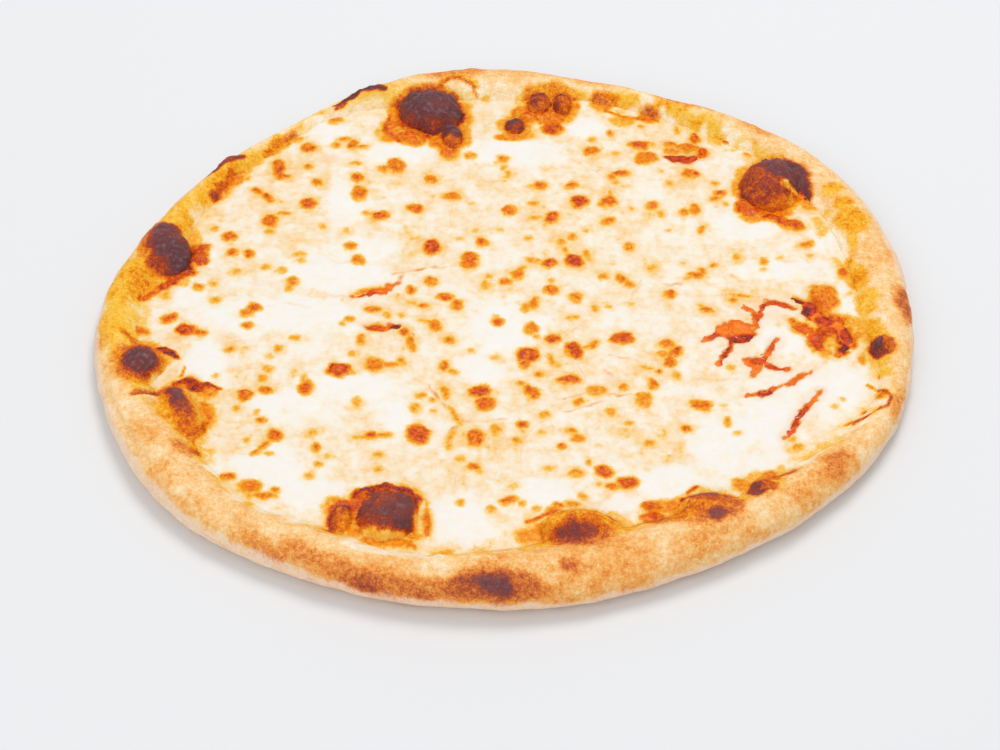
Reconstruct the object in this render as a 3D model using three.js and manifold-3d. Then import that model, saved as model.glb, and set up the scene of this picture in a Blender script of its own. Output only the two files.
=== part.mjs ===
// A whole margherita pizza from a hot oven, built in the order a pizza is made: a stretched disc of
// dough whose rim and air bubbles have blown up, a thin layer of tomato sauce, and a sheet of melted
// mozzarella that has run into one piece and torn open in places.
// Millimetres, +Z up. The origin is on the underside, at the centre of the pizza's box. +X runs along
// its longer diameter. Angles are in degrees, anticlockwise from +X.
import * as THREE from "three";
import { mergeVertices } from "three/addons/utils/BufferGeometryUtils.js";
import Module from "manifold-3d";

// ---- Driving dimensions ----

// Outer radius of the hand-stretched disc, every 20 degrees.
const OUTER_RADII = [160, 162, 161, 149, 148, 152, 146, 146, 152, 162, 165, 165, 157, 152, 149, 148, 153, 159];
// Radius at which the mozzarella meets the rim, every 15 degrees.
const CHEESE_RADII = [
  138, 137, 138, 137, 135, 132, 127, 130, 137, 137, 137, 136,
  145, 142, 137, 139, 131, 130, 120, 115, 119, 127, 137, 147,
];
// Height of the rim's crown, every 45 degrees.
const CROWN_HEIGHTS = [13.5, 13, 13, 12, 13.5, 16, 17.5, 16.5];

const FLOOR = 4; // baked dough under the toppings
const SAUCE_THICKNESS = 1.2;
const CHEESE_LEVEL = 8.6; // mean height of the mozzarella's surface
const CHEESE_RIPPLE = 0.55; // how far it rises and falls
const LAYER_GAP = 0.3; // clearance between touching solids

const EDGE_TUCK = 11; // width of the rounded lower edge, where the rim leaves the table
const WIDEST_AT = 0.42; // height of the rim's widest line, as a share of the crown's
const CROWN_AT = 0.46; // how far in the crown lies, as a share of the rim's width
const RIM_FOOT = 8; // how far the rim's inner slope runs on under the mozzarella
const SAUCE_INSET = 10; // how far the sauce stops short of the mozzarella's edge
const PUFF = 0.8; // unevenness of the crown

// Air bubbles that have blown up through the toppings and burnt: centre, half length, half width,
// direction of the length, and the height of the top.
const BUBBLES = [
  { x: -37, y: 119, long: 14.5, wide: 13, turn: 0, top: 18.5 },
  { x: -26, y: 105, long: 8, wide: 5, turn: 90, top: 12.5 },
  { x: -140, y: 33, long: 16, wide: 10.5, turn: 110, top: 16.5 },
  { x: -143, y: -32, long: 10.5, wide: 10, turn: 90, top: 16.5 },
  { x: -125, y: -58, long: 15.5, wide: 7.5, turn: -65, top: 15 },
  { x: -44, y: -108, long: 13, wide: 11.5, turn: 60, top: 16 },
  { x: -61, y: -110, long: 8, wide: 4.5, turn: 80, top: 12.5 },
  { x: 28, y: -114, long: 16.5, wide: 9.5, turn: 0, top: 19 },
  { x: 75, y: -104, long: 13.5, wide: 11, turn: 20, top: 18 },
  { x: 97, y: -91, long: 7, wide: 6, turn: 45, top: 15 },
  { x: 106, y: 79, long: 15, wide: 13, turn: 75, top: 19 },
  { x: 147, y: -12, long: 6, wide: 5, turn: 90, top: 14.5 },
  { x: 10, y: 127, long: 6.5, wide: 5.5, turn: 80, top: 12.5 },
  { x: 20, y: 127, long: 6.5, wide: 4.5, turn: 100, top: 12.5 },
  { x: 0, y: 113, long: 5, wide: 4.5, turn: 60, top: 12 },
  { x: -61, y: 129, long: 11, wide: 4.5, turn: 22, top: 15 },
  { x: -118, y: 80, long: 9, wide: 4.5, turn: 52, top: 14 },
];

const LARGE_BUBBLE = 12; // half length above which a bubble has finer facets

// Tears where the sauce shows through the mozzarella: centre, half length, half width, direction.
const TEARS = [
  { x: 88, y: -4, long: 10, wide: 5, turn: 35 },
  { x: 119, y: 1, long: 11, wide: 7, turn: -50 },
  { x: 101, y: -20, long: 8, wide: 2.6, turn: 65 },
  { x: 106, y: -36, long: 11, wide: 2.2, turn: 32 },
  { x: 113, y: -53, long: 9, wide: 2.2, turn: 65 },
  { x: -52, y: 14, long: 8, wide: 2.2, turn: 22 },
  { x: -47, y: -9, long: 7, wide: 2.4, turn: 0 },
  { x: -126, y: -13, long: 6, wide: 3.2, turn: 10 },
  { x: 69, y: 96, long: 8, wide: 2.2, turn: -5 },
];

const SECTORS = 108; // facets round the crust
const CHEESE_SECTORS = 72;
const SAUCE_SECTORS = 48;
const TEAR_SIDES = 14;

// ---- Small tools ----

const TURN = 2 * Math.PI;
const radians = THREE.MathUtils.degToRad;

// A smooth value at an angle, through values spaced evenly round the pizza.
function around(values, angle) {
  const count = values.length;
  const place = (angle / TURN) * count;
  const start = Math.floor(place);
  const t = place - start;
  const [a, b, c, d] = [-1, 0, 1, 2].map((step) => values[(start + step + 2 * count) % count]);
  return b + 0.5 * t * (c - a + t * (2 * a - 5 * b + 4 * c - d + t * (3 * (b - c) + d - a)));
}

// Evenly spaced shares from 0 to 1, leaving out the first.
const steps = (count) => Array.from({ length: count }, (_, i) => (i + 1) / count);

// A closed surface through rings, each a function from an angle to a radius and a height. The first
// and last rings are single points on the axis. Rings run from the underside, out and over the top.
function ringSurface(rings, sectors) {
  const points = [];
  const faces = [];
  const last = rings.length - 1;
  const index = (ring, sector) => {
    if (ring === 0) return 0;
    if (ring === last) return 1 + (last - 1) * sectors;
    return 1 + (ring - 1) * sectors + (sector % sectors);
  };
  rings.forEach((ring, i) => {
    const count = i === 0 || i === last ? 1 : sectors;
    for (let sector = 0; sector < count; sector++) {
      const angle = (sector / sectors) * TURN;
      const [radius, height] = ring(angle);
      points.push(radius * Math.cos(angle), radius * Math.sin(angle), height);
    }
  });
  for (let ring = 0; ring < last; ring++) {
    for (let sector = 0; sector < sectors; sector++) {
      const [a, b] = [index(ring, sector), index(ring, sector + 1)];
      const [c, d] = [index(ring + 1, sector), index(ring + 1, sector + 1)];
      if (ring > 0) faces.push(a, b, d);
      if (ring < last - 1) faces.push(a, d, c);
    }
  }
  const geometry = new THREE.BufferGeometry();
  geometry.setAttribute("position", new THREE.Float32BufferAttribute(points, 3));
  geometry.setIndex(faces);
  return geometry;
}

// ---- Solids and booleans ----

const wasm = await Module();
wasm.setup();

function toSolid(geometry) {
  const bare = new THREE.BufferGeometry();
  bare.setAttribute("position", geometry.getAttribute("position"));
  bare.setIndex(geometry.index);
  const merged = mergeVertices(bare, 1e-4);
  const mesh = new wasm.Mesh({
    numProp: 3,
    vertProperties: new Float32Array(merged.attributes.position.array),
    triVerts: new Uint32Array(merged.index.array),
  });
  return new wasm.Manifold(mesh);
}

function toGeometry(solid) {
  const mesh = solid.getMesh();
  const geometry = new THREE.BufferGeometry();
  geometry.setAttribute("position", new THREE.BufferAttribute(new Float32Array(mesh.vertProperties), 3));
  geometry.setIndex(new THREE.BufferAttribute(new Uint32Array(mesh.triVerts), 1));
  geometry.computeVertexNormals();
  return geometry;
}

// The largest of the bodies that a cut leaves.
const largest = (solid) => solid.decompose().sort((a, b) => b.volume() - a.volume())[0];

// ---- Crust ----

// The rim's section at one angle, from the disc's outline, the mozzarella's edge and the crown.
function rimAt(angle) {
  const outer = around(OUTER_RADII, angle);
  const inner = around(CHEESE_RADII, angle);
  const puff = PUFF * (Math.sin(7 * angle + 1) + 0.6 * Math.sin(12 * angle + 2));
  return {
    outer,
    foot: inner - RIM_FOOT,
    crownRadius: outer - CROWN_AT * (outer - inner),
    crown: around(CROWN_HEIGHTS, angle) + puff,
  };
}

// grow lifts the upper side, so that the layers above can be cut clear of it.
function crustSurface(grow) {
  const rings = [() => [0, 0]];
  const underEdge = (share) => (angle) => {
    const { outer, crown } = rimAt(angle);
    const t = (share * Math.PI) / 2;
    return [outer - EDGE_TUCK * (1 - Math.sin(t)), WIDEST_AT * crown * (1 - Math.cos(t))];
  };
  const overEdge = (share) => (angle) => {
    const { outer, crownRadius, crown } = rimAt(angle);
    const t = (share * Math.PI) / 2;
    const widest = WIDEST_AT * crown;
    return [
      crownRadius + (outer - crownRadius) * Math.cos(t),
      widest + (crown - widest) * Math.sin(t) + grow * share,
    ];
  };
  const innerSlope = (share) => (angle) => {
    const { crownRadius, foot, crown } = rimAt(angle);
    const fall = 0.5 + 0.5 * Math.cos(share * Math.PI);
    return [crownRadius + (foot - crownRadius) * share, FLOOR + (crown - FLOOR) * fall + grow];
  };
  rings.push(underEdge(0), ...steps(3).map(underEdge));
  rings.push(...steps(5).map(overEdge), ...steps(6).map(innerSlope));
  rings.push(() => [0, FLOOR + grow]);
  return ringSurface(rings, SECTORS);
}

// A blistered dome with a lumpy skin. Its lower half is flattened, to end inside the dough.
function bubbleSurface({ x, y, long, wide, turn, top }, grow) {
  const geometry = new THREE.IcosahedronGeometry(1, long > LARGE_BUBBLE ? 3 : 2);
  const base = CHEESE_LEVEL - 1.5;
  const point = new THREE.Vector3();
  const position = geometry.getAttribute("position");
  for (let i = 0; i < position.count; i++) {
    point.fromBufferAttribute(position, i);
    const lump = 1 + 0.05 * Math.sin(5 * point.x + x) * Math.sin(6 * point.y + y) + 0.03 * Math.sin(9 * point.z + x);
    point.multiplyScalar(lump);
    const height = point.z > 0 ? top - base + grow : base - FLOOR / 2;
    point.set(point.x * (long + grow), point.y * (wide + grow), point.z * height);
    position.setXYZ(i, point.x, point.y, point.z);
  }
  geometry.deleteAttribute("normal");
  geometry.deleteAttribute("uv");
  const merged = mergeVertices(geometry, 1e-4);
  return merged.rotateZ(radians(turn)).translate(x, y, base);
}

function crustSolid(grow = 0) {
  const bubbles = BUBBLES.map((bubble) => toSolid(bubbleSurface(bubble, grow)));
  return bubbles.reduce((crust, bubble) => crust.add(bubble), toSolid(crustSurface(grow)));
}

// ---- Sauce and mozzarella ----

// The ragged outline of a tear, as an upright prism from low to high.
function tearPrism({ x, y, long, wide, turn }, shrink, low, high) {
  const outline = Array.from({ length: TEAR_SIDES }, (_, i) => {
    const t = (i / TEAR_SIDES) * TURN;
    const ragged = 1 + 0.12 * Math.sin(3 * t + x) + 0.08 * Math.sin(5 * t + y);
    return new THREE.Vector2(Math.cos(t) * ragged * (long - shrink), Math.sin(t) * ragged * (wide - shrink));
  });
  const prism = new THREE.ExtrudeGeometry(new THREE.Shape(outline), { depth: high - low, bevelEnabled: false });
  prism.deleteAttribute("normal");
  prism.deleteAttribute("uv");
  return mergeVertices(prism, 1e-4).rotateZ(radians(turn)).translate(x, y, low);
}

const SAUCE_LOW = FLOOR + LAYER_GAP;
const SAUCE_HIGH = SAUCE_LOW + SAUCE_THICKNESS;
const TEAR_SAUCE_HIGH = CHEESE_LEVEL - 0.8; // sauce wells up in the tears, just below the mozzarella

function sauceSolid(clearCrust) {
  const edge = (angle) => around(CHEESE_RADII, angle) - SAUCE_INSET;
  const rings = [
    () => [0, SAUCE_LOW],
    (angle) => [edge(angle), SAUCE_LOW],
    (angle) => [edge(angle), SAUCE_HIGH],
    () => [0, SAUCE_HIGH],
  ];
  const layer = toSolid(ringSurface(rings, SAUCE_SECTORS));
  const wells = TEARS.map((tear) => toSolid(tearPrism(tear, LAYER_GAP + 0.2, SAUCE_LOW + 0.5, TEAR_SAUCE_HIGH)));
  return largest(wells.reduce((sauce, well) => sauce.add(well), layer).subtract(clearCrust));
}

// Height of the melted surface: broad pools and swells, a little higher where it meets the rim.
function cheeseHeight(x, y, share) {
  const swell = Math.sin(x / 17 + 0.9 * Math.sin(y / 23)) + Math.sin(y / 14 + 0.8 * Math.sin(x / 19) + 2);
  return CHEESE_LEVEL + (CHEESE_RIPPLE / 2) * swell + 0.5 * share ** 6;
}

function cheeseSolid(clearCrust) {
  const low = SAUCE_HIGH + LAYER_GAP;
  const edge = (angle) => around(CHEESE_RADII, angle) + 3;
  const top = (share) => (angle) => {
    const radius = share * edge(angle);
    return [radius, cheeseHeight(radius * Math.cos(angle), radius * Math.sin(angle), share)];
  };
  const shares = [1, 0.95, 0.88, 0.78, 0.66, 0.52, 0.36, 0.18];
  const rings = [
    () => [0, low],
    (angle) => [edge(angle), low],
    ...shares.map(top),
    () => [0, cheeseHeight(0, 0, 0)],
  ];
  const sheet = toSolid(ringSurface(rings, CHEESE_SECTORS));
  const openings = TEARS.map((tear) => toSolid(tearPrism(tear, 0, low - 1, CHEESE_LEVEL + 5)));
  return largest(openings.reduce((cheese, opening) => cheese.subtract(opening), sheet).subtract(clearCrust));
}

// ---- The pizza ----

const crust = toGeometry(crustSolid());
const clearCrust = crustSolid(LAYER_GAP);
const sauce = toGeometry(sauceSolid(clearCrust));
const mozzarella = toGeometry(cheeseSolid(clearCrust));

// The outline is uneven, so the layers are shifted together to put the origin under the box's centre.
crust.computeBoundingBox();
const centre = crust.boundingBox.getCenter(new THREE.Vector3());

const pizza = new THREE.Group();

function addLayer(name, geometry, material) {
  const mesh = new THREE.Mesh(geometry, new THREE.MeshStandardMaterial(material));
  mesh.name = name;
  mesh.position.set(-centre.x, -centre.y, 0);
  pizza.add(mesh);
}

addLayer("crust", crust, { color: 0xe3b478, roughness: 0.8, metalness: 0 });
addLayer("tomato_sauce", sauce, { color: 0xb8321a, roughness: 0.35, metalness: 0 });
addLayer("mozzarella", mozzarella, { color: 0xfbf3e2, roughness: 0.4, metalness: 0 });

export default pizza;
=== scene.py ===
import collections
import itertools
import math

import bpy
import numpy as np
from mathutils import Matrix


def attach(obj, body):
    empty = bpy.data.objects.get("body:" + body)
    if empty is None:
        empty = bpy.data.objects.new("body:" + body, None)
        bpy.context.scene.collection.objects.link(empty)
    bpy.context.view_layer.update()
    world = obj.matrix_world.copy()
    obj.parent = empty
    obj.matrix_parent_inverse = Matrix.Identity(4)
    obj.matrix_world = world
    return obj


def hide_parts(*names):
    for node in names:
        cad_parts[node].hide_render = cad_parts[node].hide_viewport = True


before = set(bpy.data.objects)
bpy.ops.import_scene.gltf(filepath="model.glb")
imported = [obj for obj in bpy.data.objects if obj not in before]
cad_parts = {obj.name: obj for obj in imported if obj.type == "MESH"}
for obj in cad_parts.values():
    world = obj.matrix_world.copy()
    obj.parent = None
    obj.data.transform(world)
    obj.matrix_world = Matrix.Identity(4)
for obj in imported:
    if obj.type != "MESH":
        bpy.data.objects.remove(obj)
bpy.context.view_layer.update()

# ---------------------------------------------------------------------------------------------
# The crust. A disc of wheat dough stretched by hand, thin in the middle, with a puffed rim. The
# oven blew bubbles in it whose skins scorched. It is one mesh of rings that runs from the middle
# of the underside round the rim and back to the middle on top.
# ---------------------------------------------------------------------------------------------
MM = 0.001
TURN = 2 * math.pi
CENTRE = np.array([1.3126, -0.2218, 0.0])  # mm, sets the outline's own box round the origin

# mm, at even steps round from +X: the rim's outside, where the toppings end, and the rim's crown
OUTER_RADII = [160, 162, 161, 149, 148, 152, 146, 146, 152, 162, 165, 165, 157, 152, 149, 148, 153, 159]
CHEESE_RADII = [138, 137, 138, 137, 135, 132, 127, 130, 137, 137, 137, 136,
                145, 142, 137, 139, 131, 130, 120, 115, 119, 127, 137, 147]
CROWN_HEIGHTS = [13.5, 13, 13, 12, 13.5, 16, 17.5, 16.5]
FLOOR = 4.0  # mm, dough left under the toppings
CHEESE_LEVEL = 8.6  # mm, the height of the toppings
EDGE_TUCK = 11.0  # mm, from the rim's outside in to where the flat underside starts
WIDEST_AT = 0.42  # of the crown's height, where the rim is widest
CROWN_AT = 0.46  # of the way in from the outside to the toppings
RIM_FOOT = 8.0  # mm, from the toppings' edge in to where the rim's inner slope ends
PUFF = 0.8  # mm that the crown rises and falls on its way round
EDGE_WANDER = 2.2  # mm, how far the toppings' edge strays from its smooth line
EDGE_RADIUS = 140  # mm, the mean radius at which that straying is read
DOME_ROOT = CHEESE_LEVEL - 1.5  # mm, the height at which a bubble leaves the dough
# Air bubbles in mm and degrees. foot_bake and top_bake say how baked each is, fillet is the width of
# the soft join round its foot, and crumple is how deeply its skin is crumpled.
Bubble = collections.namedtuple("Bubble", "x y long wide turn top foot_bake top_bake fillet crumple")
BUBBLES = [
    Bubble(-35.3, 119, 13.9, 12.8, 0, 18.5, 0.60, 0.80, 1.6, 0.7),
    Bubble(-26, 105, 8, 5, 90, 12.5, 0.60, 0.80, 1.6, 0.7),
    Bubble(-139, 32, 16, 10.5, 108, 16.0, 0.50, 0.62, 3.5, 0.5),
    Bubble(-143, -33, 10.5, 10, 90, 16.5, 0.48, 0.58, 2.0, 0.25),
    Bubble(-125, -58, 15.5, 7.5, -65, 15, 0.42, 0.50, 3.0, 0.15),
    Bubble(-44, -108, 13, 11.5, 60, 16, 0.50, 0.68, 1.6, 1.2),
    Bubble(-61, -110, 8, 4.5, 80, 12.5, 0.50, 0.58, 1.6, 0.5),
    Bubble(28, -114, 16.5, 9.5, 0, 19, 0.40, 0.44, 5.0, 0.15),
    Bubble(75, -104, 13.5, 11, 20, 18, 0.42, 0.48, 4.0, 0.25),
    Bubble(97, -91, 7, 6, 45, 15, 0.46, 0.58, 2.0, 0.6),
    Bubble(106, 79, 15, 13, 75, 19, 0.54, 0.68, 1.6, 0.6),
    Bubble(146, -14.5, 5.4, 4.8, 90, 16.8, 0.46, 0.62, 1.2, 0.4),
    Bubble(10, 127, 6.5, 5.5, 80, 12.5, 0.56, 0.68, 2.5, 1.4),
    Bubble(20, 127, 6.5, 4.5, 100, 12.5, 0.56, 0.64, 2.5, 1.4),
    Bubble(0, 113, 5, 4.5, 60, 12, 0.54, 0.76, 2.0, 0.8),
    Bubble(-61, 129, 11, 4.5, 22, 15, 0.32, 0.42, 3.0, 0.4),
    Bubble(-118, 80, 9, 4.5, 52, 14, 0.34, 0.42, 3.0, 0.4),
]

# a seeded lattice of pulls for every unevenness of dough, sauce and cheese
SHUFFLE = np.random.default_rng(11).permutation(256)
PULLS = np.random.default_rng(12).normal(size=(256, 3))
PULLS /= np.linalg.norm(PULLS, axis=1)[:, None]


def waver(points, size, salt=0):
    """Smooth seeded noise from about -1 to 1 at each point. The size is one swell's width in mm, and
    each salt gives another pattern."""
    place = points / size + 13.7 * salt + 0.37
    cell = np.floor(place).astype(int)
    inside = place - cell
    ease = inside**3 * (inside * (inside * 6 - 15) + 10)
    total = np.zeros(len(points))
    for corner in itertools.product((0, 1), repeat=3):
        spot = (cell + corner) & 255
        pick = SHUFFLE[(SHUFFLE[(SHUFFLE[spot[:, 0]] + spot[:, 1]) & 255] + spot[:, 2]) & 255]
        pull = (PULLS[pick] * (inside - corner)).sum(1)
        total += pull * np.prod(np.where(corner, ease, 1 - ease), axis=1)
    return 1.7 * total


def layered(points, *layers):
    """Noise of several sizes added up. A layer is its strength, its size in mm and its salt."""
    return sum(strength * waver(points, size, salt) for strength, size, salt in layers)


def level_points(x, y):
    """Places on the plane, as points that noise can be read at."""
    return np.stack([x, y, 0 * x], -1)


def around(values, angle):
    """The value at an angle, on a smooth closed curve through evenly spaced values."""
    values = np.asarray(values, float)
    place = np.asarray(angle) / TURN * len(values)
    start = np.floor(place).astype(int)
    t = place - start
    before, here, after, beyond = (values[(start + k) % len(values)] for k in (-1, 0, 1, 2))
    bend = 2 * before - 5 * here + 4 * after - beyond
    twist = 3 * (here - after) + beyond - before
    return here + 0.5 * t * (after - before + t * (bend + t * twist))


def step_up(low, high, value):
    """0 below low and 1 above high, with a smooth rise between; low may be the greater."""
    t = np.clip((value - low) / (high - low), 0, 1)
    return t * t * (3 - 2 * t)


def rim_at(angle):
    """The rim's section at an angle: the radii of its outside, the toppings' edge, its crown and the
    foot of its slope, then the heights of its crown and of its widest place."""
    edge_line = EDGE_RADIUS * np.stack([np.cos(angle), np.sin(angle), 0 * angle], -1)
    outer = around(OUTER_RADII, angle)
    inner = around(CHEESE_RADII, angle) + EDGE_WANDER * layered(edge_line, (0.65, 17, 1), (0.35, 8, 2))
    puff = PUFF * (np.sin(7 * angle + 1) + 0.6 * np.sin(12 * angle + 2))
    crown = around(CROWN_HEIGHTS, angle) + puff
    crown_radius = outer - CROWN_AT * (outer - inner)
    return outer, inner, crown_radius, inner - RIM_FOOT, crown, WIDEST_AT * crown


def along_across(dx, dy, turn):
    """An offset measured along and across a direction, which is given in degrees."""
    c, s = math.cos(math.radians(turn)), math.sin(math.radians(turn))
    return dx * c + dy * s, dy * c - dx * s


def in_bubble(x, y, bubble):
    """How far out a point is from a bubble's middle, where 1 is its edge."""
    along, across = along_across(x - bubble.x, y - bubble.y, bubble.turn)
    return np.hypot(along / bubble.long, across / bubble.wide)


def crag(points, size, salt):
    """Crumpled, scorched skin: sharp ridges at two scales, from about -1 to 1."""
    coarse = 1 - 2.4 * np.abs(waver(points, size, salt))
    fine = 1 - 2.4 * np.abs(waver(points, 0.45 * size, salt + 1))
    return 0.6 * coarse + 0.4 * fine


def blend_up(a, b, width):
    """The higher of two surfaces, with a fillet of that width where they cross."""
    near = np.clip(width - np.abs(a - b), 0, None) / width
    return np.maximum(a, b) + near * near * width / 4


def with_bubbles(x, y, height):
    """A dough surface with the bubbles risen out of it. The skins are lumpy."""
    lumps = layered(level_points(x, y), (0.10, 10, 3), (0.07, 4.5, 4))
    for bubble in BUBBLES:
        out = in_bubble(x, y, bubble) * (1 + lumps * (1 + bubble.crumple))
        dome = np.clip(1 - out * out, 0, None) ** 0.6 - 1.1 * np.clip(out - 1, 0, None)
        height = blend_up(height, DOME_ROOT + (bubble.top - DOME_ROOT) * dome, bubble.fillet)
    return height


def slope_height(radius, crown_radius, foot, crown):
    """The bare dough between the rim's crown and its thin middle."""
    share = np.clip((crown_radius - radius) / (crown_radius - foot), 0, 1)
    return FLOOR + (crown - FLOOR) * (0.5 + 0.5 * np.cos(share * math.pi))


def crust_top(x, y):
    """The height of the dough's upper surface over a point inside the crown."""
    _, _, crown_radius, foot, crown, _ = rim_at(np.arctan2(y, x) % TURN)
    return with_bubbles(x, y, slope_height(np.hypot(x, y), crown_radius, foot, crown))


SECTORS = 1000
UNDER_RINGS = 20
TUCK_RINGS = 10
SIDE_RINGS = 20
SLOPE_RINGS = 46
MIDDLE_RINGS = (0.66, 0.33)  # of the radius at which the fine rings end
TUCK_LENGTH = 13.0  # mm, from the flat underside up to the rim's widest place, laid out flat
UNDERSIDE_LAID = 2.4  # times the outside's radius, beyond everything else that is laid out flat
angle = np.arange(SECTORS) / SECTORS * TURN
outer, inner, crown_radius, foot, crown, widest = rim_at(angle)

# the rings have to run in as far as the innermost edge of each bubble
BUBBLE_MARGIN = 3.0  # mm
reach = foot - 1
for bubble in BUBBLES:
    away, distance = math.atan2(bubble.y, bubble.x), math.hypot(bubble.x, bubble.y)
    off = np.abs((angle - away + math.pi) % TURN - math.pi) * distance
    need = distance - bubble.long - BUBBLE_MARGIN
    reach = np.minimum(reach, need + (reach - need) * step_up(bubble.long + 1, bubble.long + 16, off))
rings = []  # radius, height, and the distance from the middle if the rim were laid out flat
for k in range(UNDER_RINGS):
    radius = (k + 1) / (UNDER_RINGS + 1) * (outer - EDGE_TUCK)
    rings.append((radius, 0 * outer, UNDERSIDE_LAID * outer - radius))
side_length = 0.5 * math.pi * np.sqrt(((outer - crown_radius) ** 2 + (crown - widest) ** 2) / 2)
for k in range(TUCK_RINGS):
    share = k / TUCK_RINGS
    t = share * math.pi / 2
    laid_out = crown_radius + side_length + (1 - share) * TUCK_LENGTH
    rings.append((outer - EDGE_TUCK * (1 - math.sin(t)), widest * (1 - math.cos(t)), laid_out))
for k in range(SIDE_RINGS):
    share = k / SIDE_RINGS
    t = share * math.pi / 2
    radius = crown_radius + (outer - crown_radius) * math.cos(t)
    laid_out = crown_radius + side_length * (1 - share)
    rings.append((radius, widest + (crown - widest) * math.sin(t), laid_out))
for k in range(SLOPE_RINGS):
    radius = crown_radius + (reach - crown_radius) * k / (SLOPE_RINGS - 1)
    rings.append((radius, slope_height(radius, crown_radius, foot, crown), radius))
for share in MIDDLE_RINGS:
    rings.append((share * reach, FLOOR + 0 * reach, share * reach))

radii, heights, laid = (np.array(column) for column in zip(*rings))
wheel = np.broadcast_to(angle, radii.shape)
x, y = radii * np.cos(wheel), radii * np.sin(wheel)
first_top = UNDER_RINGS + TUCK_RINGS
bubbled = with_bubbles(x[first_top:].ravel(), y[first_top:].ravel(), heights[first_top:].ravel())
# the bubbles fade out down the rim's outer side
high_up = np.ones(len(radii) - first_top)
high_up[:SIDE_RINGS] = step_up(0.45, 0.95, np.sin(np.arange(SIDE_RINGS) / SIDE_RINGS * math.pi / 2))
risen = bubbled.reshape(-1, SECTORS) - heights[first_top:]
heights[first_top:] += risen * high_up[:, None]
points = np.stack([x, y, heights], -1)


def surface_normals(grid):
    """The outward direction at each point of a grid of rings, from its neighbours."""
    down = np.gradient(grid, axis=0)
    turned = np.roll(grid, -1, axis=1) - np.roll(grid, 1, axis=1)
    found = np.cross(turned, down)
    return found / np.maximum(np.linalg.norm(found, axis=-1, keepdims=True), 1e-9)


def oval_depth(dx, dy, long, wide, turn):
    """How far inside an oval each offset from its middle is, in mm, and below 0 outside it."""
    along, across = along_across(dx, dy, turn)
    out = np.hypot(along / long, across / wide)
    steep = np.hypot(along / long**2, across / wide**2)
    return (1 - out) * out / np.maximum(steep, 1e-6)


def paint(level, x, y, strokes):
    """Lays strokes over a baking level, one over the other. A stroke is x, y, half length, half
    width, turn in degrees, level and fade, in mm; its edge strays by the dough's own unevenness."""
    there = level_points(x, y)
    sway = layered(there, (1.1, 6, 5), (0.6, 2.6, 6))
    swing = layered(there, (1.1, 6, 7), (0.6, 2.6, 8))
    for mid_x, mid_y, long, wide, turn, target, fade in strokes:
        span = max(long, wide) + fade + 3
        near = np.flatnonzero((np.abs(x - mid_x) < span) & (np.abs(y - mid_y) < span))
        loose = min(1.0, 0.25 * min(long, wide))
        dx = x[near] - mid_x + loose * sway[near]
        dy = y[near] - mid_y + loose * swing[near]
        weight = step_up(-fade, 0.35 * fade + 0.2, oval_depth(dx, dy, long, wide, turn))
        level[near] += (target - level[near]) * weight
    return level


OUTSIDE = -99.0  # mm, the depth inside a line or tear that is nowhere near


def line_depth(x, y, line):
    """How far inside a tapering line each place is, in mm. Its points are x, y, half width."""
    deepest = np.full(len(x), OUTSIDE)
    for (ax, ay, a_half), (bx, by, b_half) in zip(line, line[1:]):
        span = (bx - ax) ** 2 + (by - ay) ** 2
        t = np.clip(((x - ax) * (bx - ax) + (y - ay) * (by - ay)) / span, 0, 1)
        off = np.hypot(x - ax - t * (bx - ax), y - ay - t * (by - ay))
        deepest = np.maximum(deepest, a_half + t * (b_half - a_half) - off)
    return deepest


def paint_lines(level, x, y, lines):
    """Lays thin scorched lines over a baking level. A line is its level, then its points."""
    there = level_points(x, y)
    sway = layered(there, (0.5, 5, 22), (0.25, 2, 23))
    swing = layered(there, (0.5, 5, 24), (0.25, 2, 25))
    for target, *line in lines:
        inside = line_depth(x + sway, y + swing, line)
        level = level + np.clip(target - level, 0, None) * step_up(-0.9, 0.35, inside)
    return level


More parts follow.
